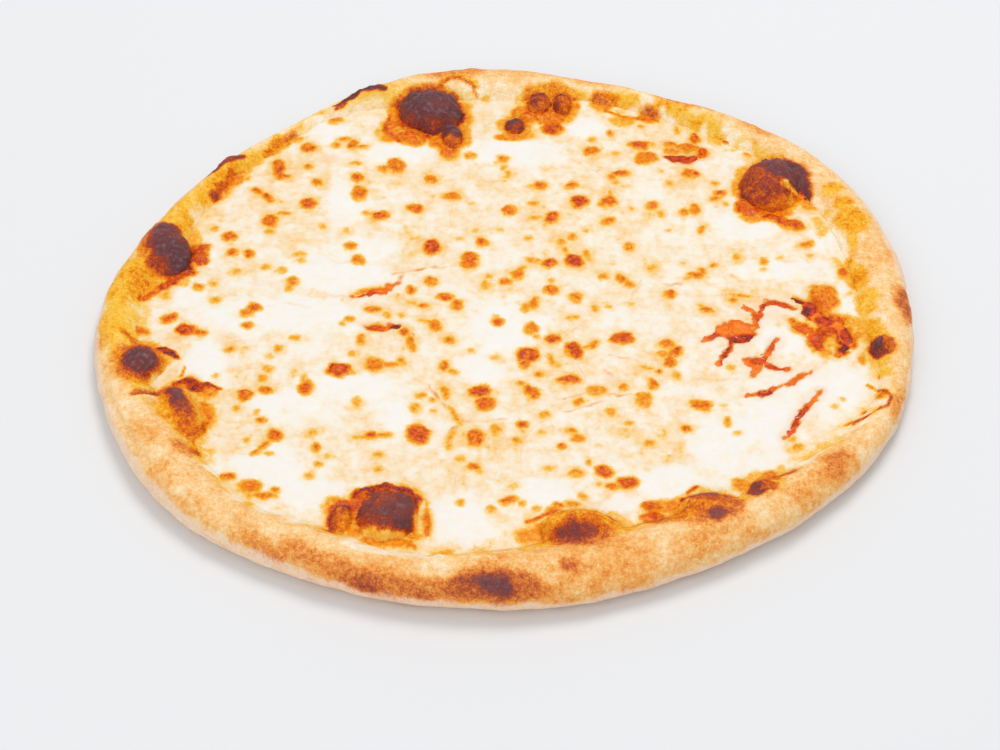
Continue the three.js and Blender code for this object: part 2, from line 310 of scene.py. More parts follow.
# thin scorched lines, on dough and cheese alike: level, then x, y, half width
SCORCHED_LINES = [
    # round the big dome at the back, the open bubble beside it and the lips at the far left
    (0.62, (-32, 131.5, 0.7), (-31, 135.4, 0.9), (-28.4, 138.2, 0.8), (-24.6, 139, 0.6),
     (-20.6, 137.6, 0.5), (-17.6, 134.6, 0.4), (-16.2, 131, 0.3)),
    (0.95, (-76, 119.5, 0.5), (-71, 123.5, 1.3), (-65.5, 128, 1.9), (-60, 129.6, 1.8),
     (-55, 129.4, 0.6)),
    (0.82, (-127, 73.5, 0.5), (-121.3, 79.2, 1.9), (-115.3, 84, 1.7), (-111, 86.6, 0.5)),
    (0.74, (-52, 118, 0.6), (-54, 108, 0.9), (-48, 101, 0.8)),
    # the curls beside the two small domes on the left
    (0.95, (-137.5, -23.5, 0.3), (-134, -24, 1.5), (-131, -25.8, 1.6), (-128, -29.5, 0.4)),
    (0.62, (-128, -29.5, 0.4), (-126, -34, 0.4), (-127, -38, 0.3)),
    (0.74, (-143, -53, 0.5), (-137.5, -49.8, 0.8), (-133, -46, 0.9), (-128, -43, 0.8)),
    (0.88, (-129, -42, 0.6), (-124.5, -40.5, 1.3), (-120, -43.5, 1.0), (-115.5, -42.5, 0.8),
     (-111, -44, 0.4)), (0.60, (-117, -52, 0.8), (-114, -60, 0.8), (-116, -68, 0.6)),
    # over the front left dome, and its small neighbour's ring
    (0.90, (-57, -100, 0.6), (-52, -95, 1.0), (-44, -93, 1.1), (-37, -95, 0.9), (-32, -101, 0.6)),
    (0.80, (-65.5, -113, 0.6), (-65, -106, 0.9), (-61, -102, 1.0), (-56, -103, 0.8)),
    (0.66, (-30.5, -102, 0.5), (-29, -110, 0.9), (-29, -117, 0.5)),
    # where the cheese ends against the front bubbles
    (0.74, (8, -110, 0.5), (15, -105.5, 0.7), (25, -104, 0.8), (34, -105, 0.6), (41, -109, 0.5)),
    (0.84, (66, -96, 0.6), (72, -94.5, 0.9), (79, -93, 0.8), (86, -95, 0.5)),
    (0.86, (68.4, -92.6, 0.3), (70.6, -90.4, 0.5), (71.8, -89.6, 0.3)),
    # round the white tongue at the right
    (0.66, (139, -34, 0.3), (144, -37.5, 0.5), (147.5, -43, 0.7), (146, -48, 0.6), (139, -50.5, 0.6),
     (130, -55, 0.4)),
    # the back
    (0.66, (38, 124, 0.4), (45, 120.5, 0.5), (52, 120, 0.6), (60, 119, 0.5)),
]

# folds pressed into the rim as it was shaped: depth, then x, y, half width
CREASES = [
    (1.0, (-114, -100, 0.3), (-109, -107, 0.8), (-103, -115, 0.8), (-97, -120, 0.3)),
    (0.9, (-146, -55, 0.3), (-142, -52.5, 0.5), (-134, -46.5, 0.7), (-129, -44, 0.3)),
    (0.6, (-155, -46, 0.2), (-150, -62, 0.5), (-141, -79, 0.5), (-133, -90, 0.2)),
    (0.7, (-135, -103, 0.2), (-126, -112, 0.5), (-115, -122, 0.5), (-106, -129, 0.2)),
    (0.7, (-62, -133, 0.2), (-45, -139, 0.5), (-24, -142, 0.6), (-4, -143, 0.2)),
    (0.6, (48, -124, 0.2), (62, -123, 0.5), (80, -118, 0.4), (94, -109, 0.2)),
    (0.6, (112, -72, 0.2), (124, -63, 0.5), (134, -55, 0.5), (141, -48, 0.2)),
    (0.5, (146, 62, 0.2), (151, 44, 0.5), (153, 24, 0.4), (152, 8, 0.2)),
    (0.5, (-96, 108, 0.2), (-84, 117, 0.4), (-72, 123, 0.2)),
]

# the dough is never smooth: broad swells, small blisters and a fine skin
DOUGH_SWELLS = [(0.6, 24, 9), (0.34, 9, 10), (0.13, 3.4, 11)]
CRUMPLE_SIZE = 4.8  # mm
SKIN_INSET = 0.45  # mm that keeps the skin inside the plain form where that form is widest
normals = surface_normals(points)
flat_points = points.reshape(-1, 3)
above = flat_points[:, 2]
laid_x = (laid * np.cos(wheel)).ravel()
laid_y = (laid * np.sin(wheel)).ravel()
rise = layered(flat_points, *DOUGH_SWELLS)
crumple = np.zeros(len(flat_points))
for bubble in BUBBLES:
    on_dome = step_up(1.1, 0.85, in_bubble(flat_points[:, 0], flat_points[:, 1], bubble))
    crumple = np.maximum(crumple, bubble.crumple * on_dome)
crumple *= (np.arange(len(radii)) >= first_top).repeat(SECTORS)
rise += crumple * crag(flat_points, CRUMPLE_SIZE, 12)
for deep, *line in CREASES:
    rise -= deep * step_up(-1.8, 0.3, line_depth(laid_x, laid_y, line))

# the dome at the back right burst, and its skin is open here
BURST_X, BURST_Y = 114.3, 72.2
BURST_HALF = 4.4  # mm
BURST_DEPTH = 1.6  # mm
torn_open = np.hypot(flat_points[:, 0] - BURST_X, flat_points[:, 1] - BURST_Y) / BURST_HALF
torn_open += 0.25 * waver(flat_points, 2.6, 27)
rise -= BURST_DEPTH * step_up(1.0, 0.5, torn_open) * (above > 9)

SMALL_BLISTERS = 90
BLISTER_BAND = 12  # mm, to each side of the crown
BLISTER_SIZES = (2.0, 5.0)  # mm
BLISTER_HEIGHTS = (0.2, 0.55)  # mm
blister_seed = np.random.default_rng(21)
for k in range(SMALL_BLISTERS):
    at = blister_seed.uniform(0, TURN)
    out_at = np.interp(at, angle, crown_radius) + blister_seed.uniform(-BLISTER_BAND, BLISTER_BAND)
    size = blister_seed.uniform(*BLISTER_SIZES)
    tall = blister_seed.uniform(*BLISTER_HEIGHTS)
    off_x, off_y = flat_points[:, 0] - out_at * math.cos(at), flat_points[:, 1] - out_at * math.sin(at)
    rise += tall * step_up(1, 0.1, np.hypot(off_x, off_y) / size) * (above > 7)
rise -= SKIN_INSET
rise *= step_up(0.0, 3.0, above)  # the underside lay flat on the oven's floor
points = points + normals * rise.reshape(points.shape[:2])[..., None]
points[..., 2] = np.clip(points[..., 2], 0, None)

# Round the rim at even steps from +X: how much of the dough beside the cheese the fat turned gold,
# over how many mm, how far out that starts, how wide a film of cheese lies there, and how tanned the
# bare dough is. Baking runs from 0, raw and floury, to 1, burnt black.
GOLD_ROUND = [0.55, 0.5, 0.55, 0.65, 0.75, 0.7, 0.5, 0.5, 0.6, 0.7, 0.85, 1.0,
              1.1, 0.9, 0.6, 0.5, 0.5, 0.6, 0.65, 0.7, 0.65, 0.5, 0.45, 0.5]
GOLD_WIDTHS = [7, 7, 8, 9, 9, 8, 7, 7.5, 8.5, 9, 10, 16, 21, 15, 9, 8, 9, 11, 12, 11, 10, 8, 7, 7]
GOLD_STARTS = [0, 0, 0, 0, 0, 0, 2, 3, 4, 4, 3, 1, 0, 0, 0, 0, 0, 0, 0, 0, 0, 0, 0, 0]
FILM_WIDTHS = [6, 7, 8, 9, 11, 13, 14, 15, 15, 14, 11, 8, 7, 6, 6, 6, 8, 12, 8, 4, 5, 5, 5, 6]
TAN_ROUND = [0.19, 0.22, 0.22, 0.21, 0.19, 0.19, 0.27, 0.22]
FILM_LEVEL = 0.07
GOLD_LEVEL = 0.31


def beside_cheese(level, turn, from_edge, x, y):
    """The colour where dough and cheese meet: a film of cheese, then golden patches over it, and
    how far the cheese's fat soaked each place."""
    there = level_points(x, y)
    patches = layered(there, (1.0, 10, 14), (0.6, 4.5, 15))
    film_width = around(FILM_WIDTHS, turn)
    film = step_up(film_width, 0.5 * film_width, from_edge + 2.5 * patches) * step_up(-9, -2, from_edge)
    level = level + (FILM_LEVEL - level) * film * 0.9
    coverage = 1.5 * (around(GOLD_ROUND, turn) - 0.5) + patches
    width = around(GOLD_WIDTHS, turn)
    start = around(GOLD_STARTS, turn)
    band = step_up(1.15 * width, 0.65 * width, from_edge + 2 * patches)
    band *= step_up(start - 5.5, start, from_edge + patches)
    gold = GOLD_LEVEL + 0.10 * waver(there, 6, 16)
    soaked = step_up(-0.15, 0.6, coverage) * band
    return level + (gold - level) * soaked, soaked


def beside_bubble(x, y, bubble, points):
    """How far outside a bubble's uneven edge each place is, in mm, and below 0 on its dome."""
    return (in_bubble(x, y, bubble) - 1) * bubble.wide + 2.8 * waver(points, 9, 19)


MOTTLED = [(0.32, 26, 17), (0.26, 11, 18), (0.22, 4.5, 26)]
flat_points = points.reshape(-1, 3)
tan = around(TAN_ROUND, wheel).ravel()
bake = tan * (1 + layered(flat_points, *MOTTLED))
past_crown = (laid - crown_radius).ravel()
bake += 0.06 * step_up(2, 12, past_crown)

# the oven floor scorched the underside in spots
underneath = (np.arange(len(radii)) < UNDER_RINGS + 4).repeat(SECTORS)
hot = layered(flat_points * (1, 1, 0), (1.0, 19, 60), (0.45, 8, 61))
bake += underneath * (0.10 * step_up(-0.4, 0.3, hot) + 0.40 * step_up(0.35, 0.85, hot))
from_cheese = (laid - inner).ravel()
bake, oily_here = beside_cheese(bake, wheel.ravel(), from_cheese, laid_x, laid_y)

# the bubbles' skins baked darker, and the dough at their feet a little
on_top = step_up(12, 6, past_crown)
for bubble in BUBBLES:
    outside = beside_bubble(flat_points[:, 0], flat_points[:, 1], bubble, flat_points)
    at_foot = step_up(5, 1, outside) * on_top
    bake += np.clip(bubble.foot_bake - 0.12 - bake, 0, None) * at_foot
    bake += (bubble.foot_bake - bake) * step_up(2, -1.0, outside) * on_top
    bake += (bubble.top_bake - bake) * step_up(-0.5, -6, outside) * on_top
    oily_here = np.maximum(oily_here, 0.85 * at_foot * step_up(14, 6, from_cheese))

# patches that the cheese's fat fried orange: x, y, half length, half width, turn in degrees, level
# and fade
FRIED = [
    (138, 57, 6, 6.5, 30, 0.40, 2.5), (135, 67, 4, 3, 40, 0.38, 2), (131, 75, 5, 3, 50, 0.36, 2),
    (137.5, 46, 1.6, 6, 0, 0.34, 1.5), (138, 26, 4, 6.5, 0, 0.42, 2.5), (136, 33, 2.4, 3, 0, 0.40, 2),
    (141, 11, 4, 7, 0, 0.34, 2.5), (137, -1, 8, 4, -12, 0.36, 2.5), (142, -7, 4, 3, 0, 0.42, 2),
    (144, -40, 2.4, 3, 0, 0.44, 1.5), (-98, 95, 9, 2.2, 45, 0.48, 1.8), (-107, 86, 5, 3, 45, 0.36, 2),
    (-121, 66, 8, 4, 48, 0.38, 3), (-113, 79, 7, 3.4, 45, 0.36, 2.5),
    (-30.4, 137, 3, 1.4, 60, 0.36, 1.2), (-24.6, 140.2, 4, 1.2, 0, 0.36, 1.2),
    (-17.6, 136.6, 3.4, 1.2, -55, 0.34, 1.2), (-148, 12, 9, 10, 0, 0.33, 4),
    (-140, 50, 3.4, 8, 30, 0.32, 2.5),
]
bake = paint(bake, laid_x, laid_y, FRIED)
oily_here = paint(oily_here, laid_x, laid_y, [(*spot[:5], 0.95, spot[6]) for spot in FRIED])

# scorched places: x, y, half length, half width, turn in degrees, level, fade
SCORCHED = [
    # the big dome at the back and its neighbour
    (-35.5, 118.5, 15, 14, 0, 0.66, 2), (-35, 118, 13.4, 12.6, 0, 0.78, 2),
    (-35, 120.5, 12.6, 9.6, 0, 0.90, 2.4), (-38, 122, 7, 5, 20, 0.96, 3),
    (-28, 118, 6, 3.6, -20, 0.90, 2), (-43, 104, 5, 4.5, 0, 0.60, 2), (-52, 108, 3, 7, 0, 0.55, 2.5),
    (-23, 119, 2, 1.2, 30, 1.0, 1), (-26, 106, 4.2, 4.8, 0, 0.90, 1.5), (-27, 99, 3.6, 3.5, 0, 0.62, 2),
    # the long dome on the left
    (-136.6, 29, 13, 7.6, 104, 0.86, 2.6), (-138.6, 38, 4.4, 4, 0, 0.88, 2.4),
    (-134, 25, 7, 5.6, -30, 0.96, 2.6), (-140.5, 20, 4.6, 3.4, -30, 0.78, 2.4),
    (-128.6, 40.6, 3.4, 6.4, 24, 0.36, 1.6), (-128, 30, 2.6, 1.8, 0, 0.82, 1),
    (-124, 27, 3, 3, 0, 0.78, 1.2), (-129, 18.4, 3, 2, 20, 0.80, 1),
    (-132.6, 16.6, 3, 1.8, 20, 0.78, 1), (-136, 13, 3.4, 2, 20, 0.80, 1),
    (-141, 8.5, 3, 2, 30, 0.74, 1), (-144.5, 4, 2.6, 1.6, 30, 0.70, 1), (-147, 12, 8, 6, 20, 0.44, 4),
    (-153, 33, 1.6, 9, 15, 0.22, 1),
    # the round one below it, its neighbour and the crease
    (-142, -39.5, 8, 5, 0, 0.56, 3), (-142.6, -35.4, 6.8, 5.3, 0, 0.90, 2.6),
    (-147, -20, 5, 1.4, -30, 0.58, 1.4), (-138, -50, 7, 1.3, 28, 0.62, 1.2),
    # the smooth dome with a scorched streak
    (-128, -50.5, 4.2, 2.8, -50, 0.88, 1.8), (-126, -56, 4.4, 2.4, -62, 0.87, 2.2),
    (-123, -61, 5, 2.4, -62, 0.76, 2.8), (-121, -68, 5, 3, -70, 0.60, 3.4),
    (-121, -44.5, 3.6, 1.6, -20, 0.82, 1), (-116, -44, 3.4, 1.4, 10, 0.78, 1),
    (-121, -80, 5, 5, 0, 0.46, 3), (-117, -80, 1.6, 1.8, 0, 0.64, 1),
    # the rough dome at the front left
    (-44, -106, 14, 12, 0, 0.58, 3), (-45, -119, 9, 2.2, 0, 0.26, 1.5),
    (-43, -107.5, 11.5, 10.4, 0, 0.73, 1.8), (-42, -108, 9, 9.2, 0, 0.80, 2.4),
    (-44, -97, 8, 4, 0, 0.80, 2), (-34, -102, 4, 5, 0, 0.82, 1.6), (-39, -110, 6.5, 5.5, 0, 0.87, 2.4),
    (-54, -101, 4, 3, 0, 0.70, 1.2), (-52, -108, 3, 3, 0, 0.84, 1.2), (-64, -112, 1.6, 6, 0, 0.76, 1),
    (-59, -105, 4, 1.4, 15, 0.80, 1), (-62, -109, 2.4, 3, 0, 0.64, 1),
    # the long front bubble
    (27, -118, 13, 6.5, 0, 0.50, 5), (28, -119, 10, 3.8, 2, 0.64, 3.6),
    (26.6, -119.2, 7.4, 2.0, 2, 0.83, 2.4), (10, -116, 6, 3, 15, 0.50, 3),
    # the front right pair
    (60, -108, 6, 4, 10, 0.52, 3), (55, -106, 5, 2.4, 0, 0.66, 1.4),
    (78, -105.5, 8.4, 5.4, 0, 0.54, 3.4), (77, -100, 8, 2.2, 4, 0.67, 1.8),
    (84, -100, 4, 2.4, -40, 0.56, 1.6), (79, -109, 2.8, 2.8, 0, 0.82, 2.4), (76, -98, 8, 1, 5, 0.80, 1),
    (94, -94, 3.2, 4.4, 20, 0.80, 1.5), (98, -93, 3, 3.4, 0, 0.68, 1.5),
    (105, -84.5, 4.4, 1.6, 8, 0.64, 1), (99.5, -86.5, 3.4, 1.4, 10, 0.56, 1),
    # the burst dome at the back right
    (101, 73, 8, 10, 20, 0.74, 2.5), (97, 67, 5, 5, 0, 0.70, 3), (112, 84, 9.5, 8, -20, 0.88, 2),
    (119, 76, 3.4, 5.4, 10, 0.87, 1.6), (105, 87, 6, 6, 0, 0.87, 2),
    (114.3, 72.2, 4.6, 3.2, -10, 0.46, 0.9), (112.4, 74.6, 1.7, 0.8, 0, 0.22, 0.5),
    (116.2, 73.8, 1.4, 0.7, -20, 0.24, 0.5), (112.8, 70.8, 1.8, 1.6, 20, 0.76, 0.7),
    (117, 71.6, 1.2, 1.4, 0, 0.62, 0.7), (108, 64, 6, 2.4, 0, 0.60, 2.5),
    # the small one at the right: paler on its right side and at a spot on top, partly its own lighter
    # bake and partly a painted highlight
    (145.6, -15, 5.4, 5.0, 0, 0.70, 1), (143.2, -14.6, 2.2, 3.8, 0, 0.88, 1.2),
    (145.4, -18.6, 2.4, 1.2, 0, 0.84, 0.8), (147.8, -14.6, 2.6, 3.4, 0, 0.60, 1.0),
    (147.4, -13, 1.2, 1.0, 0, 0.54, 0.8),
    # the group at the back
    (14, 120, 9, 6, 0, 0.60, 2), (10, 126.5, 5.4, 5, 0, 0.64, 2.2),
    (19.5, 126.5, 5.6, 4.2, 0, 0.62, 2.2), (10, 129.8, 3.4, 1.4, 10, 0.84, 1),
    (8.4, 125.4, 1.6, 1.4, 0, 0.80, 1), (20, 129.8, 3.2, 1.0, 0, 0.80, 1),
    (18, 125.4, 1.6, 2.0, 0, 0.76, 1), (25, 126.5, 2.4, 1.6, 0, 0.54, 1),
    (0, 113, 4.4, 4, 0, 0.80, 1.2), (-0.5, 114.5, 2.6, 2.4, 0, 0.93, 1.2),
    (16, 111, 3, 2.4, 0, 0.76, 1.4), (-2, 106, 6, 2.4, 0, 0.54, 2), (37, 128, 5, 4, 0, 0.56, 3),
    (56, 121, 4, 3.6, 0, 0.60, 2.4), (45, 118, 5, 3, 0, 0.40, 3),
    # lips at the far left
    (-73, 119.4, 3, 1.0, 40, 0.70, 0.8), (-114.5, 74.5, 4, 2.6, 45, 0.58, 2),
    (-118.6, 68, 4, 2.2, 48, 0.62, 1.6), (-121, 63.4, 2.2, 1.9, 0, 0.78, 1.2),
]
bake = paint(bake, laid_x, laid_y, SCORCHED)

# leopard patches on the rim, one of them darkened with painted shade: angle in degrees, mm out from the
# crown, half lengths round and out, level and fade
RIM_PATCHES = [
    (268.5, 9.5, 11, 4.6, 0.70, 6), (269, 9.5, 5.5, 2.8, 0.86, 4), (263, 11, 8, 3, 0.62, 4),
    (274, 11, 6, 3, 0.56, 4), (255, 10, 17, 3.6, 0.56, 5), (246, 8, 9, 3.4, 0.50, 4),
    (250, 12, 5, 2, 0.68, 3), (240, 6, 6, 3, 0.46, 4), (327, 3, 7, 5, 0.50, 6), (320, 4, 6, 4, 0.36, 5),
    # the patch at 3.5 degrees is brown dough darkened further by painted shade
    (231, 4, 7, 4, 0.30, 5), (224, 6, 6, 3, 0.28, 4), (3.5, 8, 10, 4, 0.60, 4),
    (236, 10, 9, 3, 0.46, 4), (216, 8, 6, 4, 0.32, 4), (285, 8, 12, 4, 0.38, 5),
    (300, 8, 10, 4, 0.36, 5), (280, 4, 2.4, 2, 0.56, 2), (208, 3, 8, 5, 0.30, 5),
    (343, 6, 8, 4, 0.40, 4), (134, -4, 7, 2.4, 0.52, 2), (62, 4, 9, 4, 0.46, 4), (48, 5, 7, 3, 0.40, 4),
    (78, 5, 9, 3, 0.36, 4), (88, 6, 8, 3, 0.36, 4), (100, 5, 12, 4, 0.44, 4), (60, 6, 10, 3, 0.40, 4),
    (186, 6, 9, 4, 0.36, 4),
]
rim_strokes = []
for at, out_by, half_round, half_out, target, fade in RIM_PATCHES:
    where = math.radians(at)
    distance = float(np.interp(where, angle, crown_radius)) + out_by
    middle = (distance * math.cos(where), distance * math.sin(where))
    rim_strokes.append((*middle, half_round, half_out, at + 90, target, fade))
bake = paint(bake, laid_x, laid_y, rim_strokes)
bake = paint_lines(bake, laid_x, laid_y, SCORCHED_LINES)

# pale skin left between them: the flap beside a dome, the slope in front of the rough one, and the
# cheese that reaches the lip at the far left
PALE = [
    (-63, 120, 9, 3.6, 30, 0.10, 2.4), (-129.6, -33, 4.6, 2.4, 55, 0.04, 1.2),
    (-134.4, -40.6, 5, 2.2, 52, 0.06, 1.2), (-43, -127.5, 16, 3.6, 0, 0.05, 2.2),
    (-31.2, -104, 1.1, 4.4, -10, 0.20, 1.5), (-31.8, -112, 1.1, 4.4, 8, 0.22, 1.5),
]
bake = paint(bake, laid_x, laid_y, PALE)
oily_here *= step_up(0.02, 0.16, bake)

# flour clings to the rim's outer side, from this share of the way down to its widest place
FLOUR_FROM = [0.50, 0.52, 0.50, 0.50, 0.52, 0.66, 0.88, 0.86]
flour_from = around(FLOUR_FROM, wheel).ravel()
down_side = ((laid - crown_radius) / side_length).ravel()
dusting = layered(flat_points, (0.5, 9, 20), (0.3, 3, 21))
flour = step_up(flour_from - 0.1, flour_from + 0.12, down_side + 0.22 * dusting)
flour = np.maximum(flour, 0.35 * step_up(0.0, 0.7, dusting + 0.3) * step_up(1, 9, past_crown))
flour *= 1 - 0.85 * step_up(0.40, 0.62, bake)


def linear(hex_colour):
    """An sRGB hex colour as Blender's linear colour."""
    parts = [int(hex_colour[k:k + 2], 16) / 255 for k in (1, 3, 5)]
    return (*[p / 12.92 if p <= 0.04045 else ((p + 0.055) / 1.055) ** 2.4 for p in parts], 1.0)


def bare_material(name):
    """A new material with an empty node tree, and that tree."""
    material = bpy.data.materials.new(name)
    material.use_nodes = True
    material.node_tree.nodes.clear()
    return material, material.node_tree


def add_node(tree, kind, settings=None, inputs=None, stops=None):
    """Adds a node. Its inputs are plain values, or the outputs they are linked from, or nodes of
    which the first output in use is linked. Stops are a ramp's places and colours."""
    node = tree.nodes.new(kind)
    for name, value in (settings or {}).items():
        setattr(node, name, value)
    for name, value in (inputs or {}).items():
        if isinstance(value, bpy.types.Node):
            value = next(output for output in value.outputs if output.enabled)
        if isinstance(value, bpy.types.NodeSocket):
            tree.links.new(value, node.inputs[name])
        else:
            node.inputs[name].default_value = value
    if stops:
        elements = node.color_ramp.elements
        while len(elements) < len(stops):
            elements.new(0.5)
        for element, (place, colour) in zip(elements, stops):
            element.position = place
            element.color = linear(colour) if isinstance(colour, str) else (colour, colour, colour, 1)
    return node


def mesh_piece(name, vertices, faces, fields, material):
    """Makes a smooth mesh object from points in mm, with a named value at each point for each field."""
    mesh = bpy.data.meshes.new(name)
    mesh.from_pydata(((vertices + CENTRE) * MM).tolist(), [], faces)
    mesh.update()
    mesh.shade_smooth()
    for field, values in fields.items():
        attribute = mesh.attributes.new(field, "FLOAT", "POINT")
        attribute.data.foreach_set("value", values.astype(np.float32))
    mesh.materials.append(material)
    piece = bpy.data.objects.new(name, mesh)
    bpy.context.scene.collection.objects.link(piece)
    return piece


# Wheat dough, baked on stone: matt and pale gold, mottled by the heat at every scale, and dark
# purple-brown with a faint sheen where a bubble's skin scorched, with ash and painted lilac highlights
# on its wrinkles.
dough, tree = bare_material("stone_baked_wheat_dough")
where = add_node(tree, "ShaderNodeTexCoord").outputs["Object"]
baked, floury, oily = (
    add_node(tree, "ShaderNodeAttribute", {"attribute_name": name}).outputs["Fac"]
    for name in ("bake", "flour", "oily"))
MOTTLE = 6.5 * MM  # patches of browner and paler dough
GRAIN = 1.9 * MM  # the wrinkles of the skin
SPECK = 0.8 * MM  # its pores, a little coarser than real ones so that they show
mottle, grain, speck = (
    add_node(tree, "ShaderNodeTexNoise", inputs={"Vector": where, "Scale": 1 / size, "Detail": detail})
    for size, detail in ((MOTTLE, 3.0), (GRAIN, 3.0), (SPECK, 2.0)))
MOTTLE_SHARE = 0.48
GRAIN_SHARE = 0.60
SPECK_SHARE = 0.60
# the patterns show most on half baked dough and least on raw and burnt dough
mottling = add_node(tree, "ShaderNodeValToRGB", inputs={"Fac": baked}, stops=[
    (0.08, 0.50), (0.32, 0.72), (0.50, 0.86), (0.76, 0.76), (0.90, 0.5)])
unevenness = 0.0
for pattern, share in ((mottle, MOTTLE_SHARE), (grain, GRAIN_SHARE), (speck, SPECK_SHARE)):
    centred = add_node(tree, "ShaderNodeMath", {"operation": "SUBTRACT"}, {0: pattern, 1: 0.5})
    unevenness = add_node(tree, "ShaderNodeMath", {"operation": "MULTIPLY_ADD"},
                          {0: centred, 1: share, 2: unevenness})
level = add_node(tree, "ShaderNodeMath", {"operation": "MULTIPLY_ADD"},
                 {0: unevenness, 1: mottling, 2: baked})
dough_colour = add_node(tree, "ShaderNodeValToRGB", inputs={"Fac": level}, stops=[
    (0.00, "#fff3e2"), (0.12, "#fddeac"), (0.24, "#fac884"), (0.35, "#f5b05c"), (0.44, "#ee9844"),
    (0.54, "#de7c36"), (0.64, "#c25e2c"), (0.74, "#9e4a34"), (0.83, "#7c423e"), (0.90, "#6c4045"),
    (0.97, "#503238"), (1.00, "#38242a")])
# fat that ran off the cheese fried the dough beside it golden
oil_colour = add_node(tree, "ShaderNodeValToRGB", inputs={"Fac": level}, stops=[
    (0.00, "#fbe6ac"), (0.20, "#fad060"), (0.38, "#f7b41c"), (0.50, "#ec8800"), (0.62, "#d86008"),
    (0.74, "#a84024"), (0.84, "#7e3a34"), (0.92, "#643a40")])
oiled_dough = add_node(tree, "ShaderNodeMix", {"data_type": "RGBA"},
                       {0: oily, 6: dough_colour, 7: oil_colour})
FLOUR_WHITE = linear("#f8e2d2")
flour_edge = add_node(tree, "ShaderNodeMath", {"operation": "MULTIPLY_ADD"},
                      {0: floury, 1: 0.42, 2: speck})
flour_cover = add_node(tree, "ShaderNodeMapRange", inputs={
    "Value": flour_edge, "From Min": 0.68, "From Max": 1.0, "To Min": 0.0, "To Max": 0.8})
dusted = add_node(tree, "ShaderNodeMix", {"data_type": "RGBA"},
                  {0: flour_cover, 6: oiled_dough, 7: FLOUR_WHITE})
# painted highlights and some ash on the wrinkles of a burnt skin: a lilac grey mixed in on the grain's
# ridges where it scorched
LILAC_ASH_AND_HIGHLIGHT = linear("#a8807e")
scorched = add_node(tree, "ShaderNodeMapRange", inputs={
    "Value": baked, "From Min": 0.74, "From Max": 0.90, "To Min": 0.0, "To Max": 1.0})
lit_wrinkles = add_node(tree, "ShaderNodeMapRange", inputs={
    "Value": grain, "From Min": 0.50, "From Max": 0.74, "To Min": 0.0, "To Max": 0.45})
ash_and_highlight = add_node(tree, "ShaderNodeMath", {"operation": "MULTIPLY"}, {0: scorched, 1: lit_wrinkles})
crust_colour = add_node(tree, "ShaderNodeMix", {"data_type": "RGBA"}, {0: ash_and_highlight, 6: dusted, 7: LILAC_ASH_AND_HIGHLIGHT})
skin = add_node(tree, "ShaderNodeBump", inputs={"Strength": 0.8, "Distance": 0.7 * MM, "Height": grain})
pores = add_node(tree, "ShaderNodeBump", inputs={
    "Strength": 0.8, "Distance": 0.3 * MM, "Height": speck, "Normal": skin})
dough_gloss = add_node(tree, "ShaderNodeMapRange", inputs={
    "Value": level, "From Min": 0.4, "From Max": 0.85, "To Min": 0.72, "To Max": 0.42})
dough_surface = add_node(tree, "ShaderNodeBsdfPrincipled", inputs={
    "Base Color": crust_colour, "Roughness": dough_gloss, "Normal": pores, "Specular IOR Level": 0.15,
    "Subsurface Weight": 0.12, "Subsurface Radius": (1.0, 0.45, 0.2), "Subsurface Scale": 2.5 * MM})
add_node(tree, "ShaderNodeOutputMaterial", inputs={"Surface": dough_surface})


def grid_quads(ids):
    """Faces between the neighbouring rows and columns of a grid of vertex numbers."""
    corners = [ids[:-1, :-1], ids[:-1, 1:], ids[1:, 1:], ids[1:, :-1]]
    return np.stack(corners, -1).reshape(-1, 4).tolist()


def fan(middle, first, count, up):
    """Triangles from a middle vertex to a closed ring of vertices, facing up or down."""
    pairs = [(first + k, first + (k + 1) % count) for k in range(count)]
    return [(middle, a, b) if up else (middle, b, a) for a, b in pairs]


# the last two vertices are the middles of the underside and of the top
ids = np.arange(len(radii) * SECTORS).reshape(len(radii), SECTORS)
faces = grid_quads(np.concatenate([ids, ids[:, :1]], axis=1))
faces += fan(ids.size, 0, SECTORS, up=False) + fan(ids.size + 1, int(ids[-1, 0]), SECTORS, up=True)
vertices = np.vstack([points.reshape(-1, 3), [[0, 0, 0], [0, 0, FLOOR]]])
crust = mesh_piece("crust_dough", vertices, faces, {
    "bake": np.append(bake, [bake[0], 0.3]), "flour": np.append(flour, [flour[0], 0.0]),
    "oily": np.append(oily_here, [0.0, 0.0])}, dough)
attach(crust, "root")
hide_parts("crust")

# ---------------------------------------------------------------------------------------------
# The tomato sauce. A thin layer of crushed tomato spread on the dough, all but hidden by the
# mozzarella; it wells up, oily and thick, where the cheese tore open as it melted.
# ---------------------------------------------------------------------------------------------
SAUCE_LOW = FLOOR + 0.3  # mm
SAUCE_TOP = SAUCE_LOW + 1.2
SAUCE_INSET = 10.0  # mm, from the toppings' edge in
WELL_TOP = 8.1  # mm, the height it wells up to in a tear

